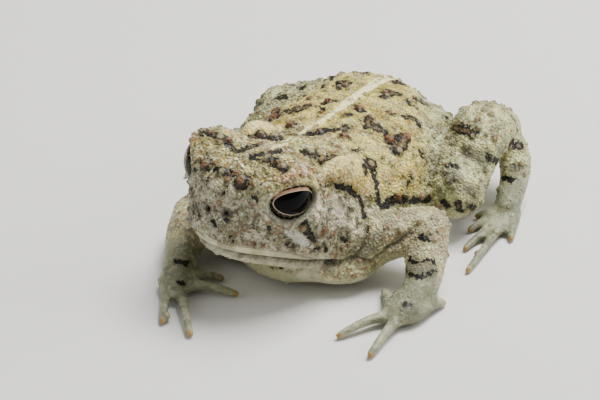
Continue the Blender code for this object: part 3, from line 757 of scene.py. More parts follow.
def body_regions(points):
    """Soft masks of the body's regions and distances to its lines, at points of the skin."""
    local = (points - np.array(HEAD.translation)) @ np.array(HEAD.to_3x3())
    masks = {"back": local[:, 1], "rise": local[:, 2]}
    for name, nodes, full, end in NODE_REGIONS:
        masks["near_" + name] = near_distance(nodes, points)
        masks[name] = 1.0 - smooth_step(full, end, masks["near_" + name])
    free = (1.0 - masks["head"]) * (1.0 - masks["arm"]) * (1.0 - masks["leg"])
    masks["chest"] = smooth_step(*CHEST_RISE, points[:, 2]) * free
    gland = []
    drum = []
    lids = []
    brows = []
    for side in (1, -1):
        mirror = np.array((side, 1.0, 1.0))
        turn = np.array(GLAND_TURN) * (1.0, side, side)
        gland.append(oval_field(local, mirror * np.array(GLAND_PLACE), GLAND_SIZE, turn))
        middle = mirror * np.array(EARDRUM_PLACE)
        drum.append(np.linalg.norm(local - middle, axis=1) - EARDRUM_RADIUS)
        lids.append(lid_line(side)[0])
        brows.append(np.array(BROW) * (side, 1.0, 1.0, 1.0))
    masks["gland_edge"] = np.minimum(*gland)
    masks["gland"] = 1.0 - smooth_step(-0.2, 1.0, masks["gland_edge"])
    masks["drum"] = np.minimum(*drum)
    masks["lid"] = nearest(local, lids)
    masks["brow"] = 1.0 - smooth_step(-0.4, 0.6, nearest(local, brows))
    of_mouth = (masks["near_head"] < MOUTH_NEAR) * (1.0 - smooth_step(*MOUTH_END, masks["back"]))
    masks["mouth"] = np.where(of_mouth > 0.01, side_distance(local, MOUTH_LINE), FAR)
    masks["lip_edge"] = np.where(masks["back"] < LIP_END, side_distance(local, LIP_EDGE), FAR)
    masks["of_mouth"] = of_mouth
    return masks


def shape_skin(points, normals, masks):
    """Fine relief of the skin that is not a wart: mouth, eardrums, glands."""
    of_mouth = masks["of_mouth"]
    lip = ridge(masks["mouth"], LIP_SWELL) * of_mouth + ridge(masks["lip_edge"], LIP_FURROW) * of_mouth
    drum = ridge(masks["drum"], DRUM_RING) - DRUM_DEPTH * smooth_step(0.1, -0.5, masks["drum"])
    lift = ridge(masks["mouth"], MOUTH_GROOVE) * of_mouth + lip + drum * (masks["head"] > 0.5)
    lift += ridge(masks["gland_edge"], GLAND_FURROW)
    lift += GLAND_SWELL * smooth_step(0.2, -1.6, masks["gland_edge"])
    return points + normals * lift[:, None]


def set_attribute(mesh, name, values):
    """Give each point of a mesh a value, which the material reads by its name."""
    layer = mesh.attributes.new(name, "FLOAT", "POINT")
    layer.data.foreach_set("value", np.asarray(values, np.float32))


def skin_surface(settings):
    """The skin's mesh, without relief, from the field of distances."""
    body, step, low = body_field(settings)
    grid = openvdb.FloatGrid(background=FAR)
    grid.copyFromArray(shape_head(body, step, low), ijk=tuple(int(value) for value in low))
    grid.transform = openvdb.createLinearTransform(step)
    points, _, quads = grid.convertToPolygons(isovalue=0.0, adaptivity=0.0)
    bm = largest_shell(points.tolist(), quads.tolist())
    bmesh.ops.scale(bm, vec=(MM, MM, MM), verts=bm.verts)
    mesh = bpy.data.meshes.new("skin")
    bm.to_mesh(mesh)
    bm.free()
    return mesh


def build_skin(settings):
    """The whole skin with its relief, its warts and the attributes of its markings and of its painted
    highlights and shade.
    """
    mesh = skin_surface(settings)
    skin = bpy.data.objects.new("skin", mesh)
    bpy.context.scene.collection.objects.link(skin)
    points, normals = read_mesh(mesh)
    masks = body_regions(points)
    write_points(mesh, shape_skin(points, normals, masks))
    points, normals = read_mesh(mesh)
    tree = BVHTree.FromPolygons(points.tolist(), [tuple(face.vertices) for face in mesh.polygons])

    crease = nearest(points, placed_strokes(tree, CREASES, True))
    points += normals * ridge(crease, CREASE_FURROW)[:, None]
    write_points(mesh, points)
    points, normals = read_mesh(mesh)

    mouth, lip_edge, of_mouth = masks["mouth"], masks["lip_edge"], masks["of_mouth"]
    head, arm, digit = masks["head"], masks["arm"], masks["digit"]
    # Where the skin faces down, is smooth or grainy, and where small warts are likely.
    level = 0.5 * (1.0 - arm) * (1.0 - masks["leg"])
    under = smooth_step(-0.2, -0.75, normals[:, 2] - level) * smooth_step(9.5, 7.5, points[:, 2])
    lid = 1.0 - smooth_step(0.25, 0.62, masks["lid"])
    smooth = smooth_step(-0.5, -0.3, mouth) * smooth_step(0.35, 0.1, lip_edge)
    smooth = np.maximum(lid, of_mouth * smooth)
    grain = np.clip(1.0 - smooth - 0.85 * digit - 0.8 * under, 0.0, 1.0) * (points[:, 2] > 0.8)
    grain *= 1.0 - smooth_step(0.3, -0.3, masks["drum"])
    weight = grain * (1.0 - 0.55 * head) * (1.0 - 0.7 * arm) * (1.0 - 0.8 * masks["gland"])
    warts = placed_warts(tree)
    warts += strewn_warts(points, weight, warts, settings.small_warts, settings.seed)
    points, dome, rust = raise_warts(points, normals, warts)

    # Distances to the marks and to the digits' ends, and the nostrils' pits.
    marks = placed_strokes(tree, HEAD_MARKS, True) + placed_strokes(tree, BODY_MARKS, False)
    marks += placed_strokes(tree, LIMB_MARKS, False, both=False)
    marks += rear_strokes(tree, REAR_MARKS) + rear_strokes(tree, RIGHT_LEG_MARKS, (-1,))
    dark = nearest(points, marks)
    white = nearest(points, placed_strokes(tree, WHITE_MARKS, True))
    smudge = nearest(points, placed_strokes(tree, SMUDGES, False, both=False))
    nostril = spot_distance(points, [seen_point(tree, x, y) for x, y in NOSTRILS])
    points += normals * (ridge(nostril, NOSTRIL_PIT) + ridge(nostril, NOSTRIL_RIM))[:, None]
    pale = placed_strokes(tree, (STRIPE,), False, both=False) + placed_strokes(tree, CRESTS, True)
    stripe = nearest(points, pale + rear_strokes(tree, (REAR_STRIPE,), (1,)))
    write_points(mesh, points)
    tip = spot_distance(points, [spot for name in DIGIT_NODES for spot in digit_tips(name)])

    # What the material reads, most of it from 0 to 1.
    jaw = of_mouth * smooth_step(0.0, -0.4, mouth)
    lip = smooth_step(0.1, 0.3, mouth) * smooth_step(0.05, -0.1, lip_edge)
    # Painted shade along the furrow at the lip's upper edge.
    lip_edge_shade = of_mouth * np.exp(-(lip_edge / 0.13) ** 2) * smooth_step(9.0, 6.0, masks["back"])
    speckle = 0.45 + 0.5 * head - 0.4 * masks["gland"] - 0.2 * digit - 0.6 * jaw - 0.3 * masks["chest"]
    warm = 0.7 + 0.6 * masks["brow"] + 0.5 * head * smooth_step(-1.0, 2.0, masks["rise"])
    values = {name: masks[name] for name in ("head", "arm", "leg", "digit", "gland", "chest", "brow")}
    values.update({
        "dark": dark,
        "white": white,
        "stripe": stripe,
        "dome": dome,
        "rust": rust,
        "crown": head * smooth_step(-2.0, 2.5, masks["rise"]),
        "under": under,
        "jaw": jaw,
        "lip": of_mouth * lip * (0.15 + 0.85 * smooth_step(-5.5, -1.0, masks["back"])),
        # Painted shade in the nostrils and along the mouth's line.
        "painted_pit_shade": np.maximum(smooth_step(0.55, 0.3, nostril), of_mouth * np.exp(-(mouth / 0.2) ** 2)),
        # Painted shade along the lip's furrow and in the creases.
        "fold": np.maximum(lip_edge_shade, np.exp(-(crease / 0.32) ** 2)),
        "smudge": np.maximum(np.exp(-(nostril / 1.1) ** 2), smooth_step(0.9, -0.4, smudge)),
        "lid": lid,
        "drum": masks["drum"].clip(-FAR, FAR),
        "tip": 1.0 - smooth_step(0.7, 1.7, tip),
        "grain": grain,
        "speckle": np.clip(speckle - 0.6 * under, 0.0, 1.0) * (1.0 - 0.85 * smooth),
        "warm": np.clip(warm, 0.0, 1.0) * (1.0 - under) * (1.0 - smooth) * (1.0 - 0.8 * digit),
    })
    for name, value in values.items():
        set_attribute(mesh, name, value)
    mesh.polygons.foreach_set("use_smooth", np.ones(len(mesh.polygons), bool))
    mesh.materials.append(toad_skin())
    return skin


# Materials


def add(tree, kind, inputs=(), output=0, **settings):
    """Add a node with its settings and its inputs, each a value or a link; gives one output."""
    node = tree.nodes.new(kind)
    for name, value in settings.items():
        setattr(node, name, value)
    for socket, value in dict(inputs).items():
        if isinstance(value, bpy.types.NodeSocket):
            tree.links.new(value, node.inputs[socket])
        else:
            node.inputs[socket].default_value = value
    return node.outputs[output]


# Attributes that the skin's material reads beside those in the tables below. The paler
# granules' colour, also that of the painted highlight on the skin's pebbles' tops. The colour
# of the skin's darker and paler patches: of the back, and of each region by its attribute.
SKIN_VALUES = ("grain", "speckle", "warm", "bead", "painted_pit_shade")
BEAD_AND_HIGHLIGHT_COLOUR = "#f4e8b4"
BACK_COLOURS = ("#b0a044", "#fbe982")
REGIONS = (
    ("head", "#948d70", "#e4dfbf"),
    ("crown", "#80723a", "#e4d88e"),
    ("leg", "#8c8e60", "#e8e8a8"),
    ("arm", "#9e9670", "#e4dea8"),
    ("chest", "#a8a384", "#dcd8bb"),
    ("gland", "#e6cf74", "#fdeaa0"),
    ("jaw", "#b1ae90", "#e3e0c2"),
    ("under", "#a29c7c", "#c8c3a4"),
    ("digit", "#74775c", "#a0a084"),
    ("brow", "#b08655", "#e6c68c"),
    ("lip", "#b1ad89", "#d9d5b0"),
)

# Markings, painted highlights and painted shade in the order in which they lie on the skin:
# attribute, how ragged its edge is, where it starts and is full, its strength and its colour.
MARKINGS_AND_PAINTED_LIGHT = (
    ("stripe", 0.8, 0.2, -0.15, 0.92, "#f6edb4"),
    ("white", 1.8, 0.2, -0.3, 0.68, "#e6e3d4"),
    ("smudge", 0.6, 0.2, 0.9, 0.6, "#4b483f"),
    ("lid", 0.0, 0.1, 0.8, 0.9, "#4d4d40"),
    ("dark", 0.9, 0.7, 0.1, 0.45, "#5c5833"),
    ("dark", 1.5, 0.1, -0.02, 1.0, "#0d0905"),
    ("dark", 1.1, -0.34, -0.6, 0.85, "#655532"),
    ("dark", 1.4, -0.7, -1.0, 0.7, "#857e5c"),
    ("dome", 0.0, 0.05, 0.4, 0.45, "#40382a"),
    # Painted highlight on the tops of the warts.
    ("dome", 0.0, 0.6, 0.95, 0.4, "#c9bd90"),
    ("rust", 0.5, 0.35, 0.95, 0.75, "#6e3b1a"),
    ("drum", 0.3, 0.1, -0.2, 0.55, "#93897c"),
    ("tip", 0.4, 0.5, 0.95, 0.7, "#a77f36"),
    # Painted shade along the lip's furrow and in the creases.
    ("fold", 0.0, 0.2, 0.9, 0.6, "#4b4735"),
)


def toad_skin():
    """Moist toad skin: dull granules under a thin wet film that glints on their tops, with painted
    highlights and painted shade on its pebbles, warts, folds and pits.
    """
    material = bpy.data.materials.new("moist_granular_skin")
    material.use_nodes = True
    tree = material.node_tree
    shader = tree.nodes["Principled BSDF"]
    place = add(tree, "ShaderNodeTexCoord", output="Object")
    # Patterns by their size in millimetres: fine grain, the drift of ragged edges, patches,
    # clouds, blots, pebbles and cells with numbers by chance.
    fine = add(tree, "ShaderNodeTexNoise", {"Vector": place, "Scale": 1 / (0.5 * MM), "Detail": 3.0})
    drift = add(tree, "ShaderNodeTexNoise", {"Vector": place, "Scale": 1 / (0.7 * MM)}, "Color")
    drift = add(tree, "ShaderNodeVectorMath", {0: drift, 1: (0.5, 0.5, 0.5)}, operation="SUBTRACT")
    drift = add(tree, "ShaderNodeVectorMath", {0: drift, "Scale": 0.5 * MM}, operation="SCALE")
    ragged = add(tree, "ShaderNodeVectorMath", {0: place, 1: drift}, operation="ADD")
    patch = add(tree, "ShaderNodeTexNoise", {"Vector": ragged, "Scale": 1 / (2.0 * MM), "Detail": 4.0})
    cloud = add(tree, "ShaderNodeTexNoise", {"Vector": place, "Scale": 1 / (6.0 * MM), "Detail": 2.0})
    blot = add(tree, "ShaderNodeTexNoise", {"Vector": ragged, "Scale": 1 / (1.3 * MM), "Detail": 4.0})
    inputs = {"Vector": place, "Scale": 1 / (0.42 * MM)}
    inputs = {"Value": add(tree, "ShaderNodeTexVoronoi", inputs, "Distance"), 1: 0.75, 2: 0.1}
    pebble = add(tree, "ShaderNodeMapRange", inputs, interpolation_type="SMOOTHSTEP")
    chance = add(tree, "ShaderNodeTexVoronoi", {"Vector": ragged, "Scale": 1 / (0.46 * MM)}, "Color")
    chance = [add(tree, "ShaderNodeSeparateColor", {0: chance}, number) for number in range(3)]

    given = {}
    for name in (*SKIN_VALUES, *sorted({row[0] for row in REGIONS + MARKINGS_AND_PAINTED_LIGHT})):
        given[name] = add(tree, "ShaderNodeAttribute", output="Fac", attribute_name=name)
    inputs = {"Value": add(tree, "ShaderNodeMath", {0: patch, 1: cloud}, operation="ADD"), 1: 0.86, 2: 1.12}
    share = add(tree, "ShaderNodeMapRange", inputs, interpolation_type="SMOOTHSTEP")
    low = colour(BACK_COLOURS[0])
    high = colour(BACK_COLOURS[1])
    for name, first, second in REGIONS:
        low = add(tree, "ShaderNodeMix", {0: given[name], 6: low, 7: colour(first)}, 2, data_type="RGBA")
        high = add(tree, "ShaderNodeMix", {0: given[name], 6: high, 7: colour(second)}, 2, data_type="RGBA")
    base = add(tree, "ShaderNodeMix", {0: share, 6: low, 7: high}, 2, data_type="RGBA")

    green = add(tree, "ShaderNodeMapRange", {"Value": cloud, 1: 0.52, 2: 0.66, 4: 0.5})
    # Painted highlight on the tops of the skin's pebbles and painted shade in the gaps between them, where
    # the skin is grainy.
    tops = add(tree, "ShaderNodeMapRange", {"Value": pebble, 1: 0.0, 2: 1.0, 3: -0.42, 4: 0.2})
    tops = add(tree, "ShaderNodeMath", {0: tops, 1: given["grain"]}, operation="MULTIPLY")
    light = add(tree, "ShaderNodeMath", {0: tops, 1: 0.0}, operation="MAXIMUM")
    shade = add(tree, "ShaderNodeMath", {0: tops, 1: -1.0}, operation="MULTIPLY", use_clamp=True)
    layers = [(green, "#7f8750"), (light, BEAD_AND_HIGHLIGHT_COLOUR), (shade, "#1d1910")]

    # Specks: the attribute that they follow, their pattern, its values where they start and
    # are full, their strength and their colour.
    specks = (
        ("speckle", patch, 0.44, 0.36, 0.45, "#ebe5c6"),
        ("speckle", patch, 0.55, 0.64, 0.55, "#574f35"),
        ("speckle", fine, 0.56, 0.66, 0.7, "#3f3a26"),
        ("speckle", chance[0], 0.80, 0.86, 0.7, "#2f2b1e"),
        ("speckle", chance[2], 0.14, 0.08, 0.55, "#ece8cf"),
        ("warm", chance[1], 0.86, 0.92, 0.65, "#9c6030"),
        ("speckle", blot, 0.60, 0.66, 0.6, "#4d482f"),
    )
    for name, value, start, end, strength, code in specks:
        weight = add(tree, "ShaderNodeMapRange", {"Value": value, 1: start, 2: end, 4: strength})
        weight = add(tree, "ShaderNodeMath", {0: weight, 1: given[name]}, operation="MULTIPLY")
        layers.append((weight, code))
    layers.append((given["bead"], BEAD_AND_HIGHLIGHT_COLOUR))

    raggedness = add(tree, "ShaderNodeMath", {0: fine, 1: blot}, operation="ADD")
    raggedness = add(tree, "ShaderNodeMath", {0: raggedness, 1: 1.0}, operation="SUBTRACT")
    for name, edge, start, end, strength, code in MARKINGS_AND_PAINTED_LIGHT:
        inputs = {0: raggedness, 1: edge, 2: given[name]}
        value = add(tree, "ShaderNodeMath", inputs, operation="MULTIPLY_ADD")
        inputs = {"Value": value, 1: start, 2: end, 4: strength}
        layers.append((add(tree, "ShaderNodeMapRange", inputs, interpolation_type="SMOOTHSTEP"), code))
    # The painted shade of the nostrils and of the mouth's line goes on last.
    for weight, code in (*layers, (given["painted_pit_shade"], "#0d0b08")):
        base = add(tree, "ShaderNodeMix", {0: weight, 6: base, 7: colour(code)}, 2, data_type="RGBA")
    tree.links.new(base, shader.inputs["Base Color"])

    damp = add(tree, "ShaderNodeTexNoise", {"Vector": place, "Scale": 1 / (1.3 * MM)})
    damp = add(tree, "ShaderNodeMapRange", {"Value": damp, 1: 0.35, 2: 0.65, 3: 0.42, 4: 0.66})
    tree.links.new(damp, shader.inputs["Roughness"])
    for name, value in (
        ("IOR", 1.42), ("Specular IOR Level", 0.3), ("Coat Weight", 0.12), ("Coat Roughness", 0.18),
        ("Subsurface Weight", 0.06), ("Subsurface Radius", (1.0, 0.6, 0.4)), ("Subsurface Scale", 0.4 * MM),
    ):
        shader.inputs[name].default_value = value
    inputs = {0: given["grain"], 1: 0.85, 2: 0.15}
    amount = add(tree, "ShaderNodeMath", inputs, operation="MULTIPLY_ADD")
    height = add(tree, "ShaderNodeMath", {0: pebble, 1: amount}, operation="MULTIPLY")
    height = add(tree, "ShaderNodeMath", {0: fine, 1: 0.4, 2: height}, operation="MULTIPLY_ADD")
    bump = add(tree, "ShaderNodeBump", {"Height": height, "Strength": 0.75, "Distance": 0.18 * MM})
    tree.links.new(bump, shader.inputs["Normal"])
    return material


def granule_tree(material):
    """Geometry nodes that set small rounded granules on the skin, by its bed attribute."""
    tree = bpy.data.node_groups.new("granules", "GeometryNodeTree")
    tree.interface.new_socket("Geometry", in_out="INPUT", socket_type="NodeSocketGeometry")
    for name in ("Spacing", "Radius"):
        socket = tree.interface.new_socket(name, in_out="INPUT", socket_type="NodeSocketFloat")
        socket.subtype = "DISTANCE"
    tree.interface.new_socket("Seed", in_out="INPUT", socket_type="NodeSocketInt")
    tree.interface.new_socket("Geometry", in_out="OUTPUT", socket_type="NodeSocketGeometry")
    given = add(tree, "NodeGroupInput").node.outputs
    bed = add(tree, "GeometryNodeInputNamedAttribute", {"Name": "bed"}, "Attribute", data_type="FLOAT")
    inputs = {
        "Mesh": given["Geometry"], "Distance Min": given["Spacing"], "Density Max": MOST_DENSE,
        "Density Factor": bed, "Seed": given["Seed"],
    }
    spots = add(tree, "GeometryNodeDistributePointsOnFaces", inputs, "Points", distribute_method="POISSON")
    found = spots.node.outputs
    place = add(tree, "GeometryNodeInputPosition")
    inputs = {2: 0.0, 3: GRANULE_GLINT, "Seed": 3}
    glint = add(tree, "FunctionNodeRandomValue", inputs, 1, data_type="FLOAT")
    for name, kind, value in (
        ("root", "FLOAT_VECTOR", place), ("lie", "FLOAT_VECTOR", found["Normal"]), ("bead", "FLOAT", glint)
    ):
        inputs = {"Geometry": spots, "Name": name, "Value": value}
        spots = add(tree, "GeometryNodeStoreNamedAttribute", inputs, data_type=kind, domain="POINT")
    inputs = {2: GRANULE_SIZES[0], 3: GRANULE_SIZES[1], "Seed": 5}
    size = add(tree, "FunctionNodeRandomValue", inputs, 1, data_type="FLOAT")
    size = add(tree, "ShaderNodeMath", {0: size, 1: given["Radius"]}, operation="MULTIPLY")
    granule = add(tree, "GeometryNodeMeshIcoSphere", {"Radius": 1.0, "Subdivisions": 1})
    granule = add(tree, "GeometryNodeTransform", {"Geometry": granule, "Scale": (1.0, 1.0, GRANULE_RISE)})
    inputs = {"Points": spots, "Instance": granule, "Rotation": found["Rotation"], "Scale": size}
    mesh = add(tree, "GeometryNodeInstanceOnPoints", inputs)
    mesh = add(tree, "GeometryNodeRealizeInstances", {"Geometry": mesh})
    mesh = add(tree, "GeometryNodeSetShadeSmooth", {"Geometry": mesh})
    mesh = add(tree, "GeometryNodeSetMaterial", {"Geometry": mesh, "Material": material})
    tree.links.new(mesh, tree.nodes.new("NodeGroupOutput").inputs["Geometry"])
    return tree


def read_attribute(mesh, name, width=1):
    """A mesh's attribute as an array: numbers, or vectors where width is 3."""
    field = "vector" if width == 3 else "value"
    values = np.empty(len(mesh.vertices) * width, np.float32)
    mesh.attributes[name].data.foreach_get(field, values)
    return values.reshape(-1, 3) if width == 3 else values


def bake_map(mesh):
    """A UV map that lays each granule at its root's place on six charts of the skin."""
    points = read_mesh(mesh)[0]
    roots = read_attribute(mesh, "root", 3) / MM
    lie = read_attribute(mesh, "lie", 3)
    side = np.abs(lie).argmax(axis=1)
    rows = np.arange(len(side))
    facing = (lie[rows, side] > 0).astype(int)
    first = (side + 1) % 3
    second = (side + 2) % 3
    place = np.stack([roots[rows, first], roots[rows, second]], axis=1) / CHART + 0.5
    corner = np.stack([side / 3.0, facing / 2.0], axis=1)
    offset = points - roots
    offset = np.stack([offset[rows, first], offset[rows, second]], axis=1)
    spots = corner + place * (1 / 3.0, 1 / 2.0) + offset * BAKE_PATCH / (2.0 * GRANULE_RADIUS)
    layer = mesh.uv_layers.new(name="OFBake")
    corners = np.empty(len(mesh.loops), np.int32)
    mesh.loops.foreach_get("vertex_index", corners)
    layer.data.foreach_set("uv", spots[corners].astype(np.float32).ravel())


def build_granules(skin, region, tree, spacing, seed):
    """One piece of coat: the granules of a region of the skin."""
    mesh = skin.data.copy()
    head = read_attribute(mesh, "head")
    limb = np.maximum(read_attribute(mesh, "arm"), read_attribute(mesh, "leg"))
    share = {"head": head, "back": (1 - head) * (1 - limb), "limbs": (1 - head) * limb}[region]
    bed = read_attribute(mesh, "grain") * smooth_step(0.4, 0.6, share)
    bed *= 0.3 + 0.7 * smooth_step(-0.1, 0.25, read_attribute(mesh, "dark"))
    bed *= 0.4 + 0.6 * smooth_step(-0.1, 0.3, read_attribute(mesh, "stripe"))
    bed *= (1.0 - 0.6 * read_attribute(mesh, "chest")) * (1.0 - 0.5 * read_attribute(mesh, "jaw"))
    set_attribute(mesh, "bed", bed * (1.0 - 0.7 * read_attribute(mesh, "gland")))
    piece = bpy.data.objects.new("granules_" + region, mesh)
    bpy.context.scene.collection.objects.link(piece)
    modifier = piece.modifiers.new("granules", "NODES")
    modifier.node_group = tree
    wanted = {"Spacing": spacing, "Radius": GRANULE_RADIUS * MM, "Seed": seed}
    for item in tree.interface.items_tree:
        if item.in_out == "INPUT" and item.name in wanted:
            modifier[item.identifier] = wanted[item.name]
    shaped = piece.evaluated_get(bpy.context.evaluated_depsgraph_get())
    result = bpy.data.meshes.new_from_object(shaped)
    piece.modifiers.remove(modifier)
    piece.data = result
    bpy.data.meshes.remove(mesh)
    if len(result.polygons) >= MOST_TRIANGLES:
        raise RuntimeError("too many granules on " + region + ": " + str(len(result.polygons)))
    bake_map(result)
    result.materials.clear()
    result.materials.append(skin.data.materials[0])
    result.polygons.foreach_set("material_index", np.zeros(len(result.polygons), np.int32))
    return piece


def toad_eye():
    """A wet eye: black pupil in a thin gold ring, dark iris with gold flecks, copper above, painted bright
    as a stand-in for light and the sky's reflection.
    """
    material = bpy.data.materials.new("wet_eye")
    material.use_nodes = True
    tree = material.node_tree
    shader = tree.nodes["Principled BSDF"]
    place = add(tree, "ShaderNodeTexCoord", output="Object")
    depth = add(tree, "ShaderNodeAttribute", output="Fac", attribute_name="front")
    depth = add(tree, "ShaderNodeMath", {0: depth, 1: 0.2}, operation="MAXIMUM")
    spread = []
    back, rise, length, height = PUPIL_OVAL
    for name, middle, half in (("across", back, length), ("rise", rise, height)):
        value = add(tree, "ShaderNodeAttribute", output="Fac", attribute_name=name)
        value = add(tree, "ShaderNodeMath", {0: value, 1: depth}, operation="DIVIDE")
        inputs = {0: value, 1: RING_DEPTH / half, 2: -middle / half}
        spread.append(add(tree, "ShaderNodeMath", inputs, operation="MULTIPLY_ADD"))
    square = add(tree, "ShaderNodeMath", {0: spread[1], 1: spread[1]}, operation="MULTIPLY")
    square = add(tree, "ShaderNodeMath", {0: spread[0], 1: spread[0], 2: square}, operation="MULTIPLY_ADD")
    pupil = add(tree, "ShaderNodeMath", {0: square}, operation="SQRT")
    fleck = add(tree, "ShaderNodeTexNoise", {"Vector": place, "Scale": 1 / (0.3 * MM), "Detail": 3.0})
    gold = add(tree, "ShaderNodeMapRange", {"Value": fleck, 1: 0.52, 2: 0.68})
    inputs = {0: gold, 6: colour("#0b0906"), 7: colour("#6f6140")}
    iris = add(tree, "ShaderNodeMix", inputs, 2, data_type="RGBA")
    # The copper crescent above the pupil: the iris's own copper, painted bright as a stand-in for its light
    # and the sky's reflection.
    copper = 1.0
    for value, start, end in (
        (spread[1], 0.3, 0.9), (pupil, 1.36, 1.24), (spread[0], 0.62, 0.4), (spread[0], -1.25, -1.0)
    ):
        within = add(tree, "ShaderNodeMapRange", {"Value": value, 1: start, 2: end})
        copper = add(tree, "ShaderNodeMath", {0: copper, 1: within}, operation="MULTIPLY")
    inputs = {0: fleck, 6: colour("#8f5c42"), 7: colour("#eec0a0")}
    copper_and_painted_reflection = add(tree, "ShaderNodeMix", inputs, 2, data_type="RGBA")
    ring = add(tree, "ShaderNodeMapRange", {"Value": pupil, 1: 1.1, 2: 1.07, 4: 0.9})
    dark = add(tree, "ShaderNodeMapRange", {"Value": pupil, 1: 1.04, 2: 1.01})
    for weight, paint in ((copper, copper_and_painted_reflection), (ring, colour("#cfc0a0")), (dark, colour("#010102"))):
        iris = add(tree, "ShaderNodeMix", {0: weight, 6: iris, 7: paint}, 2, data_type="RGBA")
    tree.links.new(iris, shader.inputs["Base Color"])
    shader.inputs["Roughness"].default_value = 0.05
    shader.inputs["IOR"].default_value = 1.336
    shader.inputs["Specular IOR Level"].default_value = 0.14
    return material


def build_eye(side_name, side, material):
    """An eyeball with its gaze coordinates, for the pupil and the iris."""
    centre, tilt = eye_frame(side, PUPIL_TILT, PUPIL_TURN)
    if side < 0:
        centre += RIGHT_EYE_BULGE
    centre = HEAD @ centre
    turn = HEAD.to_3x3() @ tilt
    gaze = turn @ Vector((side, 0.0, 0.0))
    bm = bmesh.new()
    bmesh.ops.create_uvsphere(bm, u_segments=64, v_segments=40, radius=EYE_RADIUS)
    bm.transform(gaze.to_track_quat("Z", "Y").to_matrix().to_4x4())
    mesh = bpy.data.meshes.new("eye_" + side_name)
    bmesh.ops.translate(bm, vec=centre, verts=bm.verts)
    bmesh.ops.scale(bm, vec=(MM, MM, MM), verts=bm.verts)
    bm.to_mesh(mesh)
    bm.free()
    offset = read_mesh(mesh)[0] - np.array(centre)
    set_attribute(mesh, "across", offset @ np.array(turn @ Vector((0.0, 1.0, 0.0))))
    set_attribute(mesh, "rise", offset @ np.array(turn @ Vector((0.0, 0.0, 1.0))))
    set_attribute(mesh, "front", offset @ np.array(gaze))
    mesh.polygons.foreach_set("use_smooth", np.ones(len(mesh.polygons), bool))
    mesh.materials.append(material)
    eye = bpy.data.objects.new("eyeball_" + side_name, mesh)
    bpy.context.scene.collection.objects.link(eye)
    return eye


def pale_floor():
    """Matt pale paper."""
    material = bpy.data.materials.new("matt_pale_floor")
    material.use_nodes = True
    shader = material.node_tree.nodes["Principled BSDF"]
    shader.inputs["Base Color"].default_value = colour("#dcdad5")
    shader.inputs["Roughness"].default_value = 0.9
    return material


# Settings, operators and panel


class ToadSkinSettings(bpy.types.PropertyGroup):
    """Sizes of the skin."""

    grain: bpy.props.FloatProperty(
        name="Grain", description="Spacing of the skin's points", default=0.32 * MM, unit="LENGTH"
    )
    softness: bpy.props.FloatProperty(
        name="Softness", description="How far the body's forms are rounded", default=0.55 * MM, unit="LENGTH"
    )
    small_warts: bpy.props.IntProperty(
        name="Small warts", description="How many small warts are strewn over the skin", default=520
    )
    seed: bpy.props.IntProperty(name="Seed", description="Places of the small warts", default=11)
    granules: bpy.props.FloatProperty(
        name="Granules", description="Least spacing of the skin's granules", default=0.5 * MM, unit="LENGTH"
    )


class ToadStageSettings(bpy.types.PropertyGroup):
    """Sizes of the floor and strengths of the lights."""

    floor: bpy.props.FloatProperty(
        name="Floor", description="Width of the floor", default=3.0, unit="LENGTH"
    )
    key: bpy.props.FloatProperty(
        name="Key light", description="Power of the main light, in watts", default=7.3
    )


class TOAD_OT_skin(bpy.types.Operator):
    """Build the one skin that covers all of the toad but its eyes"""

    bl_idname = "toad.skin"
    bl_label = "Skin"

    def execute(self, context):
        skin = build_skin(context.scene.toad_skin)
        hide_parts(*FLESH)
        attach(skin, "root")
        return {"FINISHED"}


class TOAD_OT_granules(bpy.types.Operator):
    """Set granules all over the skin, in three pieces"""

    bl_idname = "toad.granules"
    bl_label = "Granules"

    def execute(self, context):
        settings = context.scene.toad_skin
        skin = bpy.data.objects["skin"]
        tree = granule_tree(skin.data.materials[0])
        for number, region in enumerate(("head", "back", "limbs")):
            piece = build_granules(skin, region, tree, settings.granules, settings.seed + number)
            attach(piece, "root")
        return {"FINISHED"}


class TOAD_OT_eyes(bpy.types.Operator):
    """Build both eyeballs"""

    bl_idname = "toad.eyes"
    bl_label = "Eyes"

    def execute(self, context):
        material = toad_eye()
        for side_name, side in (("left", 1), ("right", -1)):
            eye = build_eye(side_name, side, material)
            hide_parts("eye_" + side_name)
            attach(eye, "root")
        return {"FINISHED"}


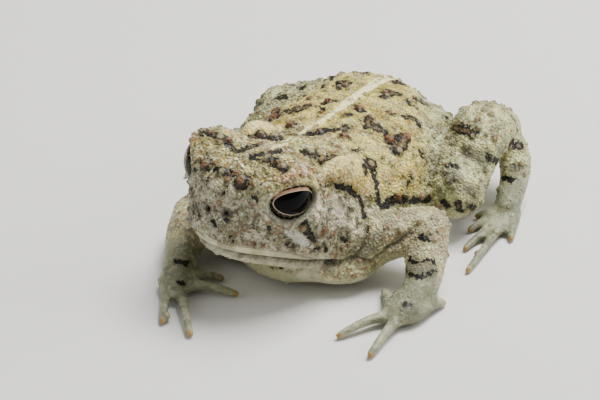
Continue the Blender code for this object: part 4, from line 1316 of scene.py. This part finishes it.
class TOAD_OT_stage(bpy.types.Operator):
    """Lay the floor and set the camera and the lights"""

    bl_idname = "toad.stage"
    bl_label = "Stage"

    def execute(self, context):
        settings = context.scene.toad_stage
        scene = context.scene
        bm = bmesh.new()
        bmesh.ops.create_grid(bm, x_segments=1, y_segments=1, size=settings.floor / 2)
        mesh = bpy.data.meshes.new("floor")
        bm.to_mesh(mesh)
        bm.free()
        mesh.materials.append(pale_floor())
        floor = bpy.data.objects.new("floor", mesh)
        scene.collection.objects.link(floor)
        lens = bpy.data.cameras.new("camera")
        lens.sensor_width = SENSOR
        lens.lens = FOCAL / PHOTO[0] * SENSOR
        lens.clip_start = NEAR_CLIP
        camera = bpy.data.objects.new("camera", lens)
        turn = Matrix((RIGHT, UP, BACK)).transposed()
        camera.matrix_world = Matrix.Translation(EYE_POINT * MM) @ turn.to_4x4()
        scene.collection.objects.link(camera)
        scene.camera = camera
        for name, spot, power, size in LAMPS:
            light = bpy.data.lights.new(name, "AREA")
            light.energy = power * settings.key
            light.size = size
            lamp = bpy.data.objects.new(name, light)
            lamp.location = spot
            lamp.rotation_euler = (-Vector(spot)).to_track_quat("-Z", "Y").to_euler()
            scene.collection.objects.link(lamp)
        world = bpy.data.worlds.new("studio")
        world.use_nodes = True
        background = world.node_tree.nodes["Background"]
        background.inputs["Color"].default_value = colour(SKY_COLOUR)
        background.inputs["Strength"].default_value = SKY_STRENGTH
        scene.world = world
        return {"FINISHED"}


class TOAD_PT_panel(bpy.types.Panel):
    """Settings and buttons in the 3D view's sidebar"""

    bl_label = "Toad"
    bl_idname = "TOAD_PT_panel"
    bl_space_type = "VIEW_3D"
    bl_region_type = "UI"
    bl_category = "Toad"

    def draw(self, context):
        skin = context.scene.toad_skin
        stage = context.scene.toad_stage
        for name in ("grain", "softness", "small_warts", "seed", "granules"):
            self.layout.prop(skin, name)
        self.layout.operator("toad.skin")
        self.layout.operator("toad.granules")
        self.layout.operator("toad.eyes")
        for name in ("floor", "key"):
            self.layout.prop(stage, name)
        self.layout.operator("toad.stage")


CLASSES = (
    ToadSkinSettings, ToadStageSettings, TOAD_OT_skin, TOAD_OT_granules, TOAD_OT_eyes, TOAD_OT_stage,
    TOAD_PT_panel,
)


def register():
    """Make the settings, the operators and the panel known to Blender."""
    for cls in CLASSES:
        bpy.utils.register_class(cls)
    bpy.types.Scene.toad_skin = bpy.props.PointerProperty(type=ToadSkinSettings)
    bpy.types.Scene.toad_stage = bpy.props.PointerProperty(type=ToadStageSettings)


def unregister():
    """Take them out again."""
    del bpy.types.Scene.toad_stage
    del bpy.types.Scene.toad_skin
    for cls in reversed(CLASSES):
        bpy.utils.unregister_class(cls)


def main():
    """Build the toad and its stage."""
    register()
    bpy.ops.toad.skin()
    bpy.ops.toad.granules()
    bpy.ops.toad.eyes()
    bpy.ops.toad.stage()


if __name__ == "__main__":
    main()
